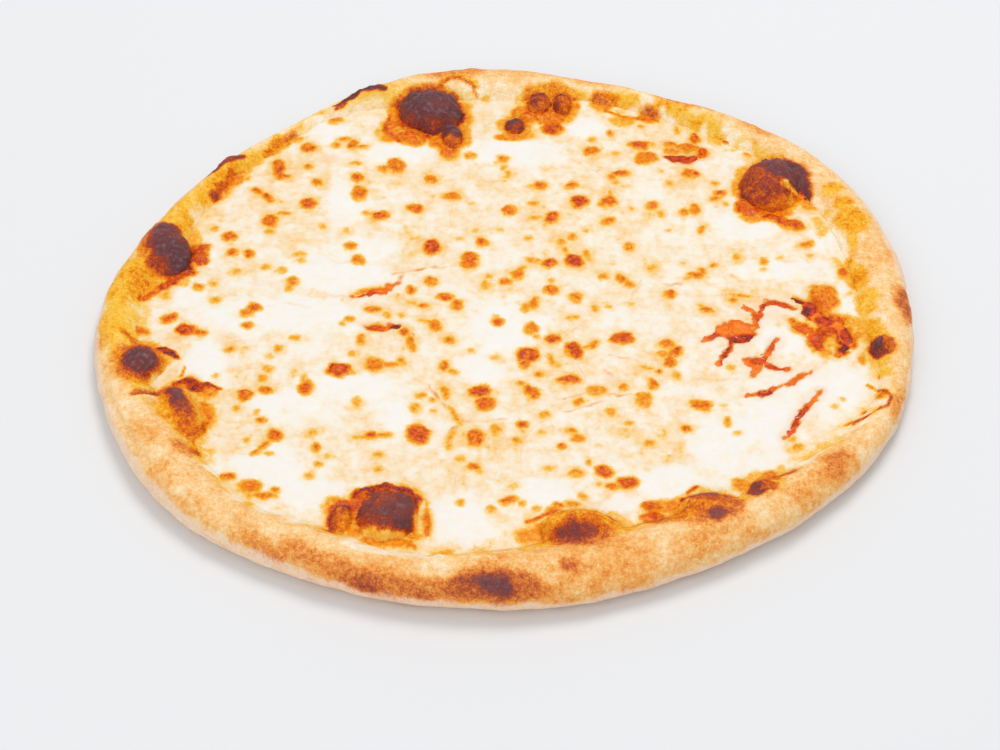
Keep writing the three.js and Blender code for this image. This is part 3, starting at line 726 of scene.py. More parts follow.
# the tears, each a run of x, y, half width
TEARS = [
    ((77, -10.4, 0.1), (81, -7.6, 0.8), (85, -5, 3.2), (89, -3.4, 4.4), (93, -3.8, 2.8),
     (96.8, -1.7, 0.9), (99, 4, 0.4), (100, 9, 0.4), (102.5, 11.4, 0.2), (105, 12.2, 0.4),
     (108.7, 10.6, 0.7), (113, 8.8, 0.1)), ((86.5, -8, 1.2), (91.4, -9.5, 1.6), (96, -6, 0.6)),
    ((98.6, 2, 0.6), (96, 6.4, 0.3), (92.6, 8, 0.1)),
    ((87.4, -9, 0.8), (86.5, -13.2, 0.3), (84, -19.4, 0.2), (82.3, -24.6, 0.5)),
    ((112, 14, 0.3), (116, 12.4, 0.7), (119, 10, 1.8), (118.6, 6, 2.0), (121, 3, 1.4)),
    ((119, 5, 1.4), (124, 1.4, 2.4), (129, 0, 1.4)),
    ((129, 0, 1.2), (132, -5, 1.6), (133.5, -10, 1.8), (129, -16, 0.6)),
    ((112.5, -1.5, 0.5), (116, -2.5, 1.5), (120.5, -8, 1.7), (123, -13, 0.6)),
    ((105, -8.4, 0.4), (102.8, -15, 0.6), (100, -19.5, 0.9), (97.2, -21.4, 1.7), (92.5, -22.4, 0.1)),
    ((99, -22, 0.7), (102.6, -24.2, 0.5), (109, -25.5, 0.1)), ((98, -23, 0.6), (95, -28.5, 0.1)),
    ((92.5, -40.4, 0.1), (100.5, -38.3, 0.6), (103.7, -36.3, 0.1)),
    ((107.4, -33.4, 0.05), (112.1, -30.3, 0.3), (118, -26.4, 0.05)),
    ((106.6, -63, 0.1), (111.9, -51.8, 0.8), (115.7, -44.2, 0.5), (120, -38, 0.1)),
    ((-63, 8.5, 0.1), (-57.4, 10.4, 0.1), (-53.6, 12, 0.7), (-49.6, 13.2, 1.1), (-45.3, 16.6, 0.1)),
    ((-56, -7.6, 0.4), (-51.8, -8.4, 1.3), (-48.4, -8.4, 0.9), (-43, -7.8, 0.1)),
    ((63, 96.6, 0.1), (66.6, 96, 1.2), (70.8, 95.6, 1.9), (76, 96.8, 1.1), (80, 98.6, 0.1)),
]
THREAD_SPACING = 4.2  # mm between the cheese threads left across a tear
TEAR_STRAY = [(1.1, 5.5, 30), (0.8, 2.4, 31)]
ELSEWHERE = 57.0  # mm, a shift that reads the same noise at another place


def tear_depth(x, y, points):
    """How far inside a tear each place is, in mm, and below 0 outside all of them."""
    sway = layered(points, *TEAR_STRAY)
    swing = layered(points + ELSEWHERE, *TEAR_STRAY)
    deepest = np.full(len(x), OUTSIDE)
    for line in TEARS:
        deepest = np.maximum(deepest, line_depth(x + sway, y + swing, line))
    threads = step_up(0.22, 0.04, np.abs(waver(points, THREAD_SPACING, 35)))
    return np.minimum(deepest, 1.6) - 1.7 * threads * step_up(0.2, 1.2, deepest)


def border_of(ids):
    """The vertex numbers round the edge of a grid, seen from above against the clock."""
    return np.concatenate([ids[0, :-1], ids[:-1, -1], ids[-1, :0:-1], ids[:0:-1, 0]])


def wall(top_ring, first_low):
    """Faces from a closed ring of vertices straight down to as many low ones."""
    count = len(top_ring)
    pairs = [(k, (k + 1) % count) for k in range(count)]
    return [(int(top_ring[b]), int(top_ring[a]), first_low + a, first_low + b) for a, b in pairs]


# the plain slab: its low ring, its high ring, and the middles of both
SLAB_TURNS = 96
slab_turn = np.arange(SLAB_TURNS) / SLAB_TURNS * TURN
slab_radius = around(CHEESE_RADII, slab_turn) - SAUCE_INSET
slab_ring = level_points(slab_radius * np.cos(slab_turn), slab_radius * np.sin(slab_turn))
slab_middles = np.array([[0, 0, SAUCE_LOW], [0, 0, SAUCE_TOP]])
sauce_points = [slab_ring + (0, 0, SAUCE_LOW), slab_ring + (0, 0, SAUCE_TOP), slab_middles]
sauce_faces = wall(range(SLAB_TURNS, 2 * SLAB_TURNS), 0)
sauce_faces += fan(2 * SLAB_TURNS, 0, SLAB_TURNS, up=False)
sauce_faces += fan(2 * SLAB_TURNS + 1, SLAB_TURNS, SLAB_TURNS, up=True)

# fine patches of the sauce's surface round the tears, each from one corner x, y to the other
WELL_PATCHES = [(73, -65, 139, 22), (-68, 4, -41, 22), (-59, -15, -36, -3), (56, 90, 84, 104)]
WELL_CELL = 0.75  # mm


def height_patch(left, front, right, back, cell, height_of, low):
    """A closed block whose top is a fine grid at the height that height_of gives."""
    columns = round((right - left) / cell) + 1
    rows = round((back - front) / cell) + 1
    grid_x, grid_y = np.meshgrid(np.linspace(left, right, columns), np.linspace(front, back, rows))
    top_points = level_points(grid_x.ravel(), grid_y.ravel())
    top_points[:, 2] = height_of(top_points)
    ids = np.arange(len(top_points)).reshape(rows, columns)
    border = border_of(ids)
    under = top_points[border].copy()
    under[:, 2] = low
    first = len(top_points)
    bottom = tuple(first + k for k in reversed(range(len(border))))
    return np.vstack([top_points, under]), grid_quads(ids) + wall(border, first) + [bottom]


def well_height(points):
    """The sauce's surface: hidden in the slab, and lumpy where it wells up in a tear."""
    hidden = SAUCE_TOP - 0.3
    well = WELL_TOP + layered(points, (0.3, 3.2, 32), (0.2, 1.4, 33))
    inside = tear_depth(points[:, 0], points[:, 1], points)
    return hidden + (well - hidden) * step_up(-4.0, -1.5, inside)


for corners in WELL_PATCHES:
    first = sum(len(part) for part in sauce_points)
    patch_points, patch_faces = height_patch(*corners, WELL_CELL, well_height, SAUCE_LOW + 0.2)
    sauce_points.append(patch_points)
    sauce_faces.extend(tuple(first + k for k in face) for face in patch_faces)
sauce_vertices = np.vstack(sauce_points)

# darker where the sauce dried or caught the fire
SAUCE_STROKES = [
    (89, -3, 8, 5, 30, 0.14, 2), (92, -9, 6, 2.2, 12, 0.56, 1.5), (80, -8, 3, 1.6, 20, 0.40, 1.2),
    (85, -16, 1.6, 8, -12, 0.45, 1), (99, 5, 2, 5, -10, 0.30, 1.2), (101, 9.5, 1.4, 1.4, 0, 0.50, 1),
    (107, 11, 5, 2, -10, 0.34, 1.2), (119.6, 11.5, 3, 2.6, 0, 0.46, 1.2),
    (118.2, 7.4, 2.8, 3, 0, 0.58, 1.4), (114, 13, 3, 1, -30, 0.66, 0.8),
    (124.4, 1.6, 3.4, 2.4, -20, 0.48, 1), (127, 4, 3, 2, 0, 0.5, 1), (132.6, -6, 2.4, 4, 0, 0.52, 1.2),
    (131, -13, 2.6, 2.6, 40, 0.62, 1.2), (116, -3, 4, 2.4, 0, 0.26, 1.2), (121, -9, 3, 4, 0, 0.40, 1),
    (103, -12, 2, 4, -10, 0.30, 1), (97.5, -21, 4, 2, 20, 0.38, 1), (104, -24.6, 4, 1.2, -20, 0.40, 1),
    (112, -52, 8, 2, 62, 0.42, 1), (108.5, -59, 2.6, 1.6, 60, 0.26, 1),
    (106, -35, 12, 2.4, 32, 0.16, 1), (99.5, -38.6, 3, 1.4, 10, 0.46, 1),
    (-52.4, -8.4, 3.4, 2, 4, 0.34, 1), (-44.5, -8.4, 2.4, 1.8, 4, 0.60, 1),
    (69, 96, 9, 2.4, 4, 0.44, 1), (-56, 11, 5, 1.6, 20, 0.34, 1), (-50.5, 12.6, 3, 1.8, 0, 0.16, 1),
]
sauce_x, sauce_y = sauce_vertices[:, 0], sauce_vertices[:, 1]
reduced = paint(0.08 + 0.14 * waver(sauce_vertices, 4, 34), sauce_x, sauce_y, SAUCE_STROKES)
from_side = tear_depth(sauce_x, sauce_y, level_points(sauce_x, sauce_y))
reduced += 0.14 * step_up(1.0, 0.1, from_side)  # the thin sauce along a tear's sides dries first

# Cooked tomato: wet pulp with oil on it, orange where it is thin and dark red where it dried.
pulp, tree = bare_material("cooked_crushed_tomato")
where = add_node(tree, "ShaderNodeTexCoord").outputs["Object"]
dried = add_node(tree, "ShaderNodeAttribute", {"attribute_name": "reduced"}).outputs["Fac"]
PULP_GRAIN = 1.1 * MM  # shreds of crushed tomato
shreds = add_node(tree, "ShaderNodeTexNoise", inputs={
    "Vector": where, "Scale": 1 / PULP_GRAIN, "Detail": 3.0})
pulp_level = add_node(tree, "ShaderNodeMath", {"operation": "MULTIPLY_ADD"},
                      {0: shreds, 1: 0.5, 2: dried})
pulp_colour = add_node(tree, "ShaderNodeValToRGB", inputs={"Fac": pulp_level}, stops=[
    (0.20, "#fc9a20"), (0.46, "#f4780c"), (0.66, "#e25606"), (0.82, "#bc340c"), (0.94, "#88241e"),
    (1.0, "#58262e")])
pulp_bump = add_node(tree, "ShaderNodeBump", inputs={
    "Strength": 0.6, "Distance": 0.25 * MM, "Height": shreds})
pulp_surface = add_node(tree, "ShaderNodeBsdfPrincipled", inputs={
    "Base Color": pulp_colour, "Roughness": 0.28, "Normal": pulp_bump, "Specular IOR Level": 0.16,
    "Subsurface Weight": 0.1, "Subsurface Radius": (1.0, 0.25, 0.08), "Subsurface Scale": 1.0 * MM})
add_node(tree, "ShaderNodeOutputMaterial", inputs={"Surface": pulp_surface})

sauce = mesh_piece("tomato_sauce_wells", sauce_vertices, sauce_faces, {"reduced": reduced}, pulp)
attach(sauce, "root")
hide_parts("tomato_sauce")

# ---------------------------------------------------------------------------------------------
# The mozzarella. Torn pieces of fresh cheese that melted and ran together into one glossy sheet,
# thick and white in mounds and thin and creamy between them. Its skin browned in small blisters.
# It is a round grid of fine squares with a plain underside.
# ---------------------------------------------------------------------------------------------
SQUARES = 300  # along each side of the grid
CHEESE_RIPPLE = 0.55  # mm
SHEET_LOW = 5.8  # mm, the height of its underside
SHEET_LAP = 3.0  # mm that it runs up onto the rim
SHEET_MIDDLE = 137.0  # mm, the radius that the grid has in the middle, before it follows the edge
TEAR_FLOOR = 7.0  # mm, the cheese's surface inside a tear, below the sauce's

# a square grid bent into a disc
steps = np.linspace(-1, 1, SQUARES + 1)
u, v = np.meshgrid(steps, steps, indexing="xy")
disc_x = (u * np.sqrt(1 - v * v / 2)).ravel()
disc_y = (v * np.sqrt(1 - u * u / 2)).ravel()
out = np.hypot(disc_x, disc_y)
toward = np.arctan2(disc_y, disc_x) % TURN
edge = rim_at(toward)[1] + SHEET_LAP
reach = SHEET_MIDDLE + (edge - SHEET_MIDDLE) * out**2
x, y = disc_x * reach, disc_y * reach
flat = level_points(x, y)

# thick white mounds: x, y, half length, half width, turn in degrees
MOUNDS = [
    (-70, 20, 27, 11, -10), (-90, -3, 36, 10, 0), (-127, 8, 7, 9, 0), (0, 97, 20, 7, 0),
    (-45, 94, 12, 7, 0), (-68, 62, 8, 13, 0), (-60, 36, 11, 7, 0), (-78, 108, 7, 8, 0),
    (-3, -8, 14, 15, 0), (-12, -30, 12, 8, 0), (-62, -42, 20, 7, 0), (-85, -52, 14, 10, 0),
    (-90, -86, 16, 11, 0), (-72, -100, 14, 9, 0), (-42, -55, 7, 12, 0), (82, -66, 13, 20, 0),
    (102, -50, 12, 24, -20), (125, -36, 14, 13, 0), (108, -10, 10, 7, 0), (134, 12, 4, 12, 0),
    (106, 30, 16, 6, 0), (95, 55, 12, 8, 0), (126, 48, 8, 7, 0), (14, -96, 12, 8, 0),
    (-14, -108, 11, 12, 0), (46, -104, 9, 8, 0), (64, -88, 14, 9, 0), (30, 113, 10, 7, 0),
    (98, -76, 10, 9, 0), (-118, -30, 8, 10, 0),
]
thick = 0.24 + layered(flat, (0.32, 22, 40), (0.22, 9, 41))
ragged = layered(flat, (0.34, 16, 53), (0.26, 6.5, 54), (0.12, 3, 55))
for mid_x, mid_y, long, wide, turn in MOUNDS:
    along, across = along_across(x - mid_x, y - mid_y, turn)
    off = np.hypot(along / long, across / wide)
    thick = np.maximum(thick, 0.92 * step_up(1.55, 0.6, off + ragged) + 0.15 * ragged)
thick = np.clip(thick, 0, 1)

# browned blisters: x, y, half length, half width, turn in degrees, how baked
BROWNED = [
    # far left
    (-75, 114, 3, 4, 0, 0.5), (-57, 106, 1.5, 3, 0, 0.42), (-85.5, 96, 3, 3.6, 0, 0.58),
    (-83.6, 95.4, 1.8, 2.2, 0, 0.74), (-90, 101, 3, 2, 30, 0.40), (-74, 97.5, 2, 2, 0, 0.6),
    (-71, 101.5, 3.2, 1, 10, 0.6), (-67, 98, 2, 3.5, 0, 0.70), (-63, 97, 2.5, 1, 0, 0.6),
    (-97, 83, 3, 6, 0, 0.66), (-95, 77.5, 3.5, 2, 0, 0.66), (-85, 84, 1.8, 1.8, 0, 0.6),
    (-65, 86.5, 2.5, 1, 0, 0.55), (-53, 84, 3, 2, 0, 0.6), (-64, 78, 3, 3, 0, 0.66),
    (-63, 69, 3.5, 5, 0, 0.66), (-80, 75, 2.5, 2.5, 0, 0.62), (-104.5, 68, 3.2, 1.8, -35, 0.68),
    (-100, 64.5, 3.6, 1.8, -50, 0.69), (-83, 62, 4, 3.5, 30, 0.68), (-98, 51, 3, 4, 0, 0.66),
    (-93, 55.5, 3.5, 1.2, 0, 0.55), (-98, 44.5, 2, 1.5, 0, 0.55), (-54, 56, 4, 3, 0, 0.68),
    (-59, 57, 2, 1, 0, 0.5), (-77, 48.5, 1.5, 1.5, 0, 0.45), (-67, 47, 1.3, 1.3, 0, 0.45),
    (-120.5, 45.5, 1.7, 1.7, 0, 0.5), (-114, 41, 3, 2.8, 0, 0.66), (-131, 47, 1.5, 2, 0, 0.5),
    (-126, 57.5, 3, 0.9, 30, 0.5), (-109, 76, 1.5, 1.5, 0, 0.5), (-65, 37.5, 2.8, 2.5, 0, 0.52),
    # left
    (-127, -12.8, 4.6, 3, 5, 0.80), (-121.5, -14, 3, 2, 0, 0.66), (-112, 32, 2.5, 2.5, 0, 0.66),
    (-105.5, 31, 2, 3, 0, 0.66), (-98, 24, 2, 2, 0, 0.42), (-92, 22, 2.3, 2, 0, 0.44),
    (-109.5, 21, 1.8, 1.8, 0, 0.5), (-118, 13, 2, 1.5, 0, 0.5), (-124, 11, 2, 2, 0, 0.6),
    (-87, 16, 2.5, 2.5, 0, 0.64), (-88, 12, 1.5, 2, 0, 0.5), (-85, 32, 3, 1.5, 0, 0.44),
    (-84, 28, 2, 2, 0, 0.35), (-61.5, 29.5, 2.8, 2.8, 0, 0.68), (-101, 0, 3, 2.5, 0, 0.68),
    (-104, -3, 2.5, 2.5, 0, 0.62), (-103, -10, 2.8, 1.8, 0, 0.62), (-116.5, 4, 2, 2.5, 0, 0.42),
    (-134, -7, 3.6, 2, 30, 0.70), (-109, -23, 2, 1.8, 0, 0.56), (-103.5, -22, 1.8, 1.5, 0, 0.3),
    (-90, -22, 1.8, 1.8, 0, 0.5), (-84, -16, 2.5, 1.5, 0, 0.45), (-93, -26, 1.3, 1.3, 0, 0.42),
    (-58, -16, 2, 3, 0, 0.6), (-61, -24, 1.7, 1.7, 0, 0.5), (-63, -5, 2, 1.5, 0, 0.6),
    (-66, -7.5, 1.2, 1, 0, 0.5), (-66, -33, 4.5, 4, 0, 0.78), (-61, -34, 2, 1, 0, 0.5),
    (-52, -29, 4, 4, 0, 0.6), (-78, -43, 3.5, 4, 0, 0.68), (-79, -38, 1, 2.5, 0, 0.5),
    (-93, -33, 2, 1.5, 0, 0.5), (-95, -38, 2, 2, 0, 0.52), (-93.5, -44.5, 3.5, 2, -20, 0.64),
    (-101.5, -47, 3.5, 3.5, 0, 0.64), (-104, -54, 1.5, 2, 0, 0.5), (-113.5, -37.5, 1.3, 1.3, 0, 0.42),
    (-83, -34, 1.3, 1.3, 0, 0.4), (-54, 1, 4, 2, 0, 0.62), (-52, -8.5, 4, 2, 0, 0.74),
    (-57, 12, 6, 1.1, 22, 0.6), (-51, 13, 2.5, 1.2, 22, 0.72),
    # near left
    (-104.5, -91, 3, 1.8, 0, 0.68), (-88.5, -68.5, 3.5, 3.5, 0, 0.68), (-92, -74, 3, 1.3, 55, 0.64),
    (-95, -78, 2, 1.1, 40, 0.6), (-90, -78.5, 2, 1, 0, 0.45), (-99, -71, 1.5, 1.5, 0, 0.42),
    (-94, -60.5, 2.2, 1.5, 0, 0.62), (-96, -56.5, 1, 1.5, 0, 0.45), (-74, -66, 2.5, 2, 0, 0.4),
    (-72.5, -74, 1.5, 2.5, 0, 0.62), (-68, -78.5, 1.3, 1.3, 0, 0.42), (-71, -83, 1.6, 1.6, 0, 0.54),
    (-74, -89, 1.7, 2, 0, 0.45), (-58, -50, 2, 3, 0, 0.4), (-56, -68, 3, 1, 0, 0.52),
    (-51.5, -67, 2.5, 2, 0, 0.68), (-47, -66.5, 3, 1.2, 0, 0.6), (-96, -96, 5, 3.6, 0, 0.56),
    (-90, -100, 5, 1.6, 0, 0.62), (-86, -97.5, 2, 1.8, 0, 0.58),
    # back middle
    (-48.5, 86, 4, 5, 20, 0.6), (-34, 79, 2.6, 2.6, 0, 0.62), (-25, 69, 4.2, 2.6, 12, 0.6),
    (-40, 61, 3.5, 3, 0, 0.66), (-1.5, 61, 3.2, 3.2, 0, 0.64), (16, 57, 3.2, 3.6, 0, 0.70),
    (9, 57, 3, 1.3, 0, 0.48), (27.5, 67, 4.2, 4.2, 0, 0.78), (39, 67.5, 3.5, 3.6, 0, 0.68),
    (40, 72, 0.9, 2.5, 0, 0.5), (11, 76.2, 3, 2.5, 0, 0.62), (7.5, 76, 2, 1, 10, 0.4),
    (24, 76.5, 3.4, 1.9, 20, 0.62), (8.5, 65.5, 2.6, 1.5, 0, 0.48), (-4.7, 92, 2.5, 2, 0, 0.56),
    (-7, 90, 1, 0.8, 0, 0.42), (-4, 87, 1.5, 2.2, 0, 0.45), (-2, 83.5, 1.4, 2.6, 0, 0.42),
    (-3, 81, 1.5, 1.2, 0, 0.4), (-18, 93.5, 2.6, 2, 0, 0.52), (32, 98.5, 3.6, 3.5, 0, 0.64),
    (32.5, 105.5, 2, 1.7, 0, 0.44), (40, 110, 1.6, 2.5, 0, 0.58), (42, 97.5, 1.6, 1.5, 0, 0.42),
    (44.5, 85, 4, 2, 5, 0.68), (40.5, 82.5, 1.5, 2, 40, 0.62), (42, 79.5, 1.5, 1.5, 0, 0.42),
    (46, 77, 2.5, 1, 0, 0.3), (52, 102.5, 4.5, 3.5, 0, 0.72), (55, 94.5, 5, 4.3, 0, 0.6),
    (57, 103, 2, 1.5, 0, 0.45), (6.5, 45, 2, 1.5, 0, 0.44), (20, 43, 2.2, 2.2, 0, 0.46),
    (24.5, 46.5, 2, 2.5, 0, 0.52), (47.5, 41.5, 2, 3, 0, 0.52), (-12, 42, 2.5, 2.5, 0, 0.68),
    (-15, 49, 1.6, 1.6, 0, 0.4), (-5, 49.5, 1.6, 1.1, 0, 0.4), (-17, 65, 1.2, 0.9, 0, 0.38),
    (48.5, 64, 1.3, 1.3, 0, 0.4), (39, 56, 3.2, 2.2, 30, 0.6), (-32, 38.5, 4.5, 4.8, 0, 0.78),
    (-21.5, 44, 2.2, 0.9, 0, 0.4), (-43.5, 50, 1, 0.8, 0, 0.35), (-42, 47, 1.5, 1, 0, 0.3),
    (53, 115, 1, 1, 0, 0.6), (30, 50, 0.7, 0.7, 0, 0.6), (13, 86, 1.4, 1, 0, 0.28),
    # middle
    (-16.5, 33, 3.5, 3.3, 0, 0.68), (-17, 28.8, 3.4, 2.8, 0, 0.64), (-32, 18.5, 2.7, 3, 0, 0.58),
    (-39.5, 13, 1.8, 2.5, 0, 0.68), (-25.7, 9.5, 3.6, 3, 0, 0.66), (-21, 5, 2.4, 3, 0, 0.64),
    (-9, 22, 1.7, 1.7, 0, 0.42), (-10, 17, 1.7, 3, 0, 0.46), (-2, 19, 2.6, 2, 0, 0.58),
    (2.5, 23.5, 2.6, 3.2, -20, 0.62), (4, 27, 1.3, 2.2, -30, 0.54), (15, 30.5, 3.5, 3.2, 0, 0.69),
    (9, 31.8, 3, 1.7, 0, 0.52), (25, 32.5, 4.2, 4.4, 0, 0.80), (21.8, 38.5, 1.2, 2.5, 20, 0.5),
    (30.3, 37, 1.8, 2.4, 0, 0.5), (31, 34, 1.2, 1.4, 0, 0.44), (44, 23, 2.2, 3, 30, 0.64),
    (47.5, 19.8, 2.6, 2, -20, 0.54), (37.3, 24, 2, 1.8, 0, 0.56), (16, 15, 3.5, 2.8, 0, 0.62),
    (16.3, 20.3, 1.3, 1.6, 0, 0.42), (26, 11, 2.8, 3, 0, 0.58), (6.2, 4.2, 2.6, 3, 0, 0.5),
    (9.6, 7.2, 2, 4.2, -15, 0.56), (33.5, 4.5, 1.5, 2.6, 0, 0.42), (39, 6.5, 1.3, 1.3, 0, 0.46),
    (24.8, -0.3, 3, 1.8, 0, 0.4), (47.5, 8.5, 1.5, 1.5, 0, 0.36), (-44.7, 9.5, 1.1, 1.3, 0, 0.4),
    (-39, 6, 2.4, 1, 0, 0.48), (-34.5, 4.5, 2.4, 1.4, 0, 0.62), (-48.3, -1.5, 1.8, 2, 0, 0.46),
    (-43, -1.5, 1.3, 1.5, 0, 0.42), (-29.3, -6.5, 2.4, 3.4, 20, 0.62), (-33, -4.3, 3, 0.9, -10, 0.52),
    (-23.5, -14, 2.3, 2.2, 0, 0.6), (-38.5, -17, 1.6, 5, 15, 0.6), (-41.3, -10.5, 2.2, 2.6, 0, 0.68),
    (-46.5, -29, 4.2, 1.6, 8, 0.56), (-41.8, -26.8, 1.5, 2.4, 0, 0.54), (-4.8, -4.5, 2.6, 2, 0, 0.68),
    (-6, -1.5, 1.4, 1.3, 0, 0.42), (-14.8, -19.5, 1.3, 1.2, 0, 0.42), (-5.3, -23.3, 1.9, 1, 10, 0.44),
    (-24.8, -28.2, 1.9, 2.9, 0, 0.62), (-21.3, -31.5, 2.2, 1.4, -15, 0.48),
    (8.5, -7.8, 2.7, 3.8, 0, 0.56), (10.8, -12, 1.6, 1.4, 0, 0.46), (17.3, -12.5, 3.8, 2.8, 10, 0.72),
    (25.6, -18.8, 3.6, 5.2, 15, 0.78), (33, -15.3, 1.6, 3, -20, 0.58), (30, -17, 3, 0.8, 20, 0.5),
    (7.8, -22, 4.6, 4.6, 0, 0.74), (6.3, -27, 1.8, 2.6, 0, 0.66), (44, -11.8, 5, 3.4, 12, 0.74),
    (16.5, -24, 1.2, 3.8, 20, 0.52), (19.3, -26.5, 1, 2, 0, 0.42), (12, -31.7, 2.2, 1.7, 0, 0.52),
    (23.5, -34.6, 5, 2.8, 3, 0.69), (34.5, -39.8, 4.4, 3.2, 10, 0.48), (9, -41.3, 2.6, 4.6, 35, 0.66),
    (4.8, -37, 2, 1.4, -20, 0.52), (44.6, -38, 1.9, 1.8, 0, 0.62), (-11, -41.5, 4.6, 3.6, 0, 0.76),
    (-8.5, -48, 4, 3.6, 0, 0.66), (-24.5, -42.5, 1.6, 4.2, 15, 0.56), (-33.5, -45, 2.6, 1.7, 0, 0.54),
    (-29, -47, 1.1, 1, 0, 0.58), (27.3, -46.5, 2, 2, 0, 0.58),
    # front middle
    (-35.6, -52, 2, 2.9, 0, 0.46), (-28.7, -53, 1.5, 1.2, 0, 0.4), (-34, -66, 5.2, 5.6, 0, 0.75),
    (-20, -55, 0.9, 6, 25, 0.56), (-21.5, -66, 1, 4.5, -25, 0.5), (-22, -71.5, 1.3, 1.8, 0, 0.5),
    (-12, -66.5, 3.4, 5, 0, 0.64), (-4.6, -62, 2.2, 3.4, 0, 0.46), (6, -59, 2, 1.8, 20, 0.83),
    (14.3, -53.5, 2.6, 1.6, 0, 0.5), (13, -63, 1.6, 1.5, 0, 0.42), (4, -67.5, 1.8, 1.9, 0, 0.52),
    (24.3, -62, 2.6, 1.5, 0, 0.6), (27, -65.5, 2.8, 2.6, 0, 0.5), (21, -70, 1.5, 1.8, 30, 0.75),
    (-17.5, -78, 2, 1.8, 0, 0.44), (-12.5, -82, 2.6, 1.8, -20, 0.68), (-9.8, -84.2, 1.3, 1.4, 0, 0.42),
    (-48.5, -77, 2, 1.4, 0, 0.5), (-48, -84.5, 2, 1.6, 0, 0.46), (16, -82, 2.2, 1.2, 0, 0.46),
    (26.5, -84, 3.2, 2.6, -10, 0.5), (36.8, -83, 4.2, 3.4, 0, 0.74), (31.2, -78, 1, 1.3, 0, 0.6),
    (40, -90.2, 2.6, 1.9, 0, 0.64), (46, -88, 4, 2.8, 10, 0.72), (35, -89.5, 1.3, 1.2, 0, 0.44),
    (46.3, -57, 1.8, 1.4, 20, 0.48), (45, -60.5, 0.9, 0.9, 0, 0.42), (40, -51, 2.3, 2.4, 0, 0.5),
    (-17, -100.5, 1.7, 1.9, 0, 0.46), (-5.5, -104, 1.9, 2, 30, 0.5), (1.5, -99, 4, 2, 10, 0.6),
    (6.2, -100.5, 1.3, 1.8, 0, 0.46), (3, -91.5, 3, 2.4, 0, 0.26), (-39, -93, 2.4, 1.8, 0, 0.56),
    (12, -103, 2, 1.4, 0, 0.44), (18.2, -104, 3, 2.4, 0, 0.56), (20, -101, 1.8, 0.7, -15, 0.8),
    (25, -100, 3, 1.6, 0, 0.5), (29, -96, 2, 2, 0, 0.44), (-35, -124, 3.6, 3.6, 0, 0.64),
    (-22, -125, 4, 1.2, 10, 0.52), (-29, -110, 1.6, 7, 5, 0.6),
    # back right
    (57, 66, 2.6, 2.4, 0, 0.6), (60.5, 61.5, 1.6, 2.4, 0, 0.46), (56, 61, 1, 1, 0, 0.4),
    (70, 63, 2.2, 2.2, 0, 0.6), (74.5, 64.8, 2, 3.6, 0, 0.62), (77, 53, 1.3, 2.8, -20, 0.54),
    (64, 52, 1.5, 0.8, 0, 0.35), (64.5, 80, 1.5, 1.9, 0, 0.42), (61.3, 87, 0.9, 0.7, 0, 0.4),
    (83, 81, 2, 1.5, 0, 0.44), (85, 75, 2.6, 2.4, 20, 0.66), (83.3, 71.5, 2, 1.8, 0, 0.62),
    (87, 68.5, 1.3, 1.4, 0, 0.44), (73.5, 86, 3.6, 3, 0, 0.62), (75.2, 86, 1.8, 1.6, 0, 0.79),
    (89, 107, 3, 2.2, 5, 0.68), (97, 98.5, 1.7, 1.8, 0, 0.54), (68, 113, 0.9, 3, 0, 0.54),
    (75.3, 108, 2.3, 3.6, 0, 0.70), (65, 103.5, 3, 2.2, 0, 0.6), (72, 101.6, 6, 3, 0, 0.58),
    (66, 99.6, 4, 2, 0, 0.52), (78.5, 98.7, 2.6, 2.6, 0, 0.70), (119.3, 45, 3, 2.2, 0, 0.62),
    (95, 67, 4.2, 4, 0, 0.68), (106.5, 60, 6, 3.6, -14, 0.76), (113.4, 56.6, 7, 3.0, -20, 0.70),
    (97, 63.4, 4.6, 4, 0, 0.70), (130, 64.5, 2.4, 3.2, 0, 0.70), (135, 53, 1.7, 2.4, 0, 0.68),
    # right
    (56.5, 30, 2.4, 2, 30, 0.42), (74, 26, 3, 1.8, -20, 0.69), (76.7, 28.6, 1.6, 1.8, 0, 0.68),
    (71, 24.5, 2, 0.8, 25, 0.5), (81.5, 32, 1.2, 0.7, 20, 0.8), (63.5, 15, 2.4, 2.9, 0, 0.6),
    (77.8, 6, 3, 1.8, -15, 0.62), (75.5, 8.5, 1.8, 1.3, 0, 0.42), (91, 37, 1.6, 2.8, 0, 0.46),
    (101.5, 34.5, 1.5, 2.4, 0, 0.58), (101, 29.5, 1.2, 0.9, 0, 0.42), (120.5, 38.5, 1.5, 1.2, 0, 0.42),
    (133.3, 29, 2, 3.6, 0, 0.74), (62, -14, 3, 2.6, 0, 0.58), (60, -19.5, 3, 2.4, 0, 0.52),
    (65.3, -17.5, 2.2, 3.4, -35, 0.75), (62.5, -23.5, 2.6, 3.6, 0, 0.64),
    (65.5, -30.5, 1.9, 2.4, 0, 0.44), (56, -36, 2.1, 3, 0, 0.69), (54, -27, 3.5, 1.2, -20, 0.45),
    (58.6, -28.6, 0.8, 0.8, 0, 0.9), (74.5, -46, 4.8, 3.4, 0, 0.62), (71.5, -45, 1.5, 1.5, 0, 0.72),
    (52.5, -44, 4, 4.4, 0, 0.5), (86.5, -25, 1.6, 1.4, 0, 0.46), (126, -45.5, 1.4, 1.4, 0, 0.4),
    (129, -42, 1.5, 1, 0, 0.35), (138, -20, 1.8, 2.8, 0, 0.54), (145, -29, 1, 0.9, 0, 1.0),
    (108.5, 37, 1.2, 1.2, 0, 0.38), (69.3, 33, 1.1, 0.9, 0, 0.38), (88.5, 12, 1.6, 1.6, 0, 0.62),
    (91.5, 14.8, 4.5, 0.8, -8, 0.6),
    # the torn, scorched patch at the right
    (124, 16, 6.5, 6.5, 0, 0.58), (128, 12, 3, 4, 0, 0.54), (121, 20, 2.4, 2, 0, 0.48),
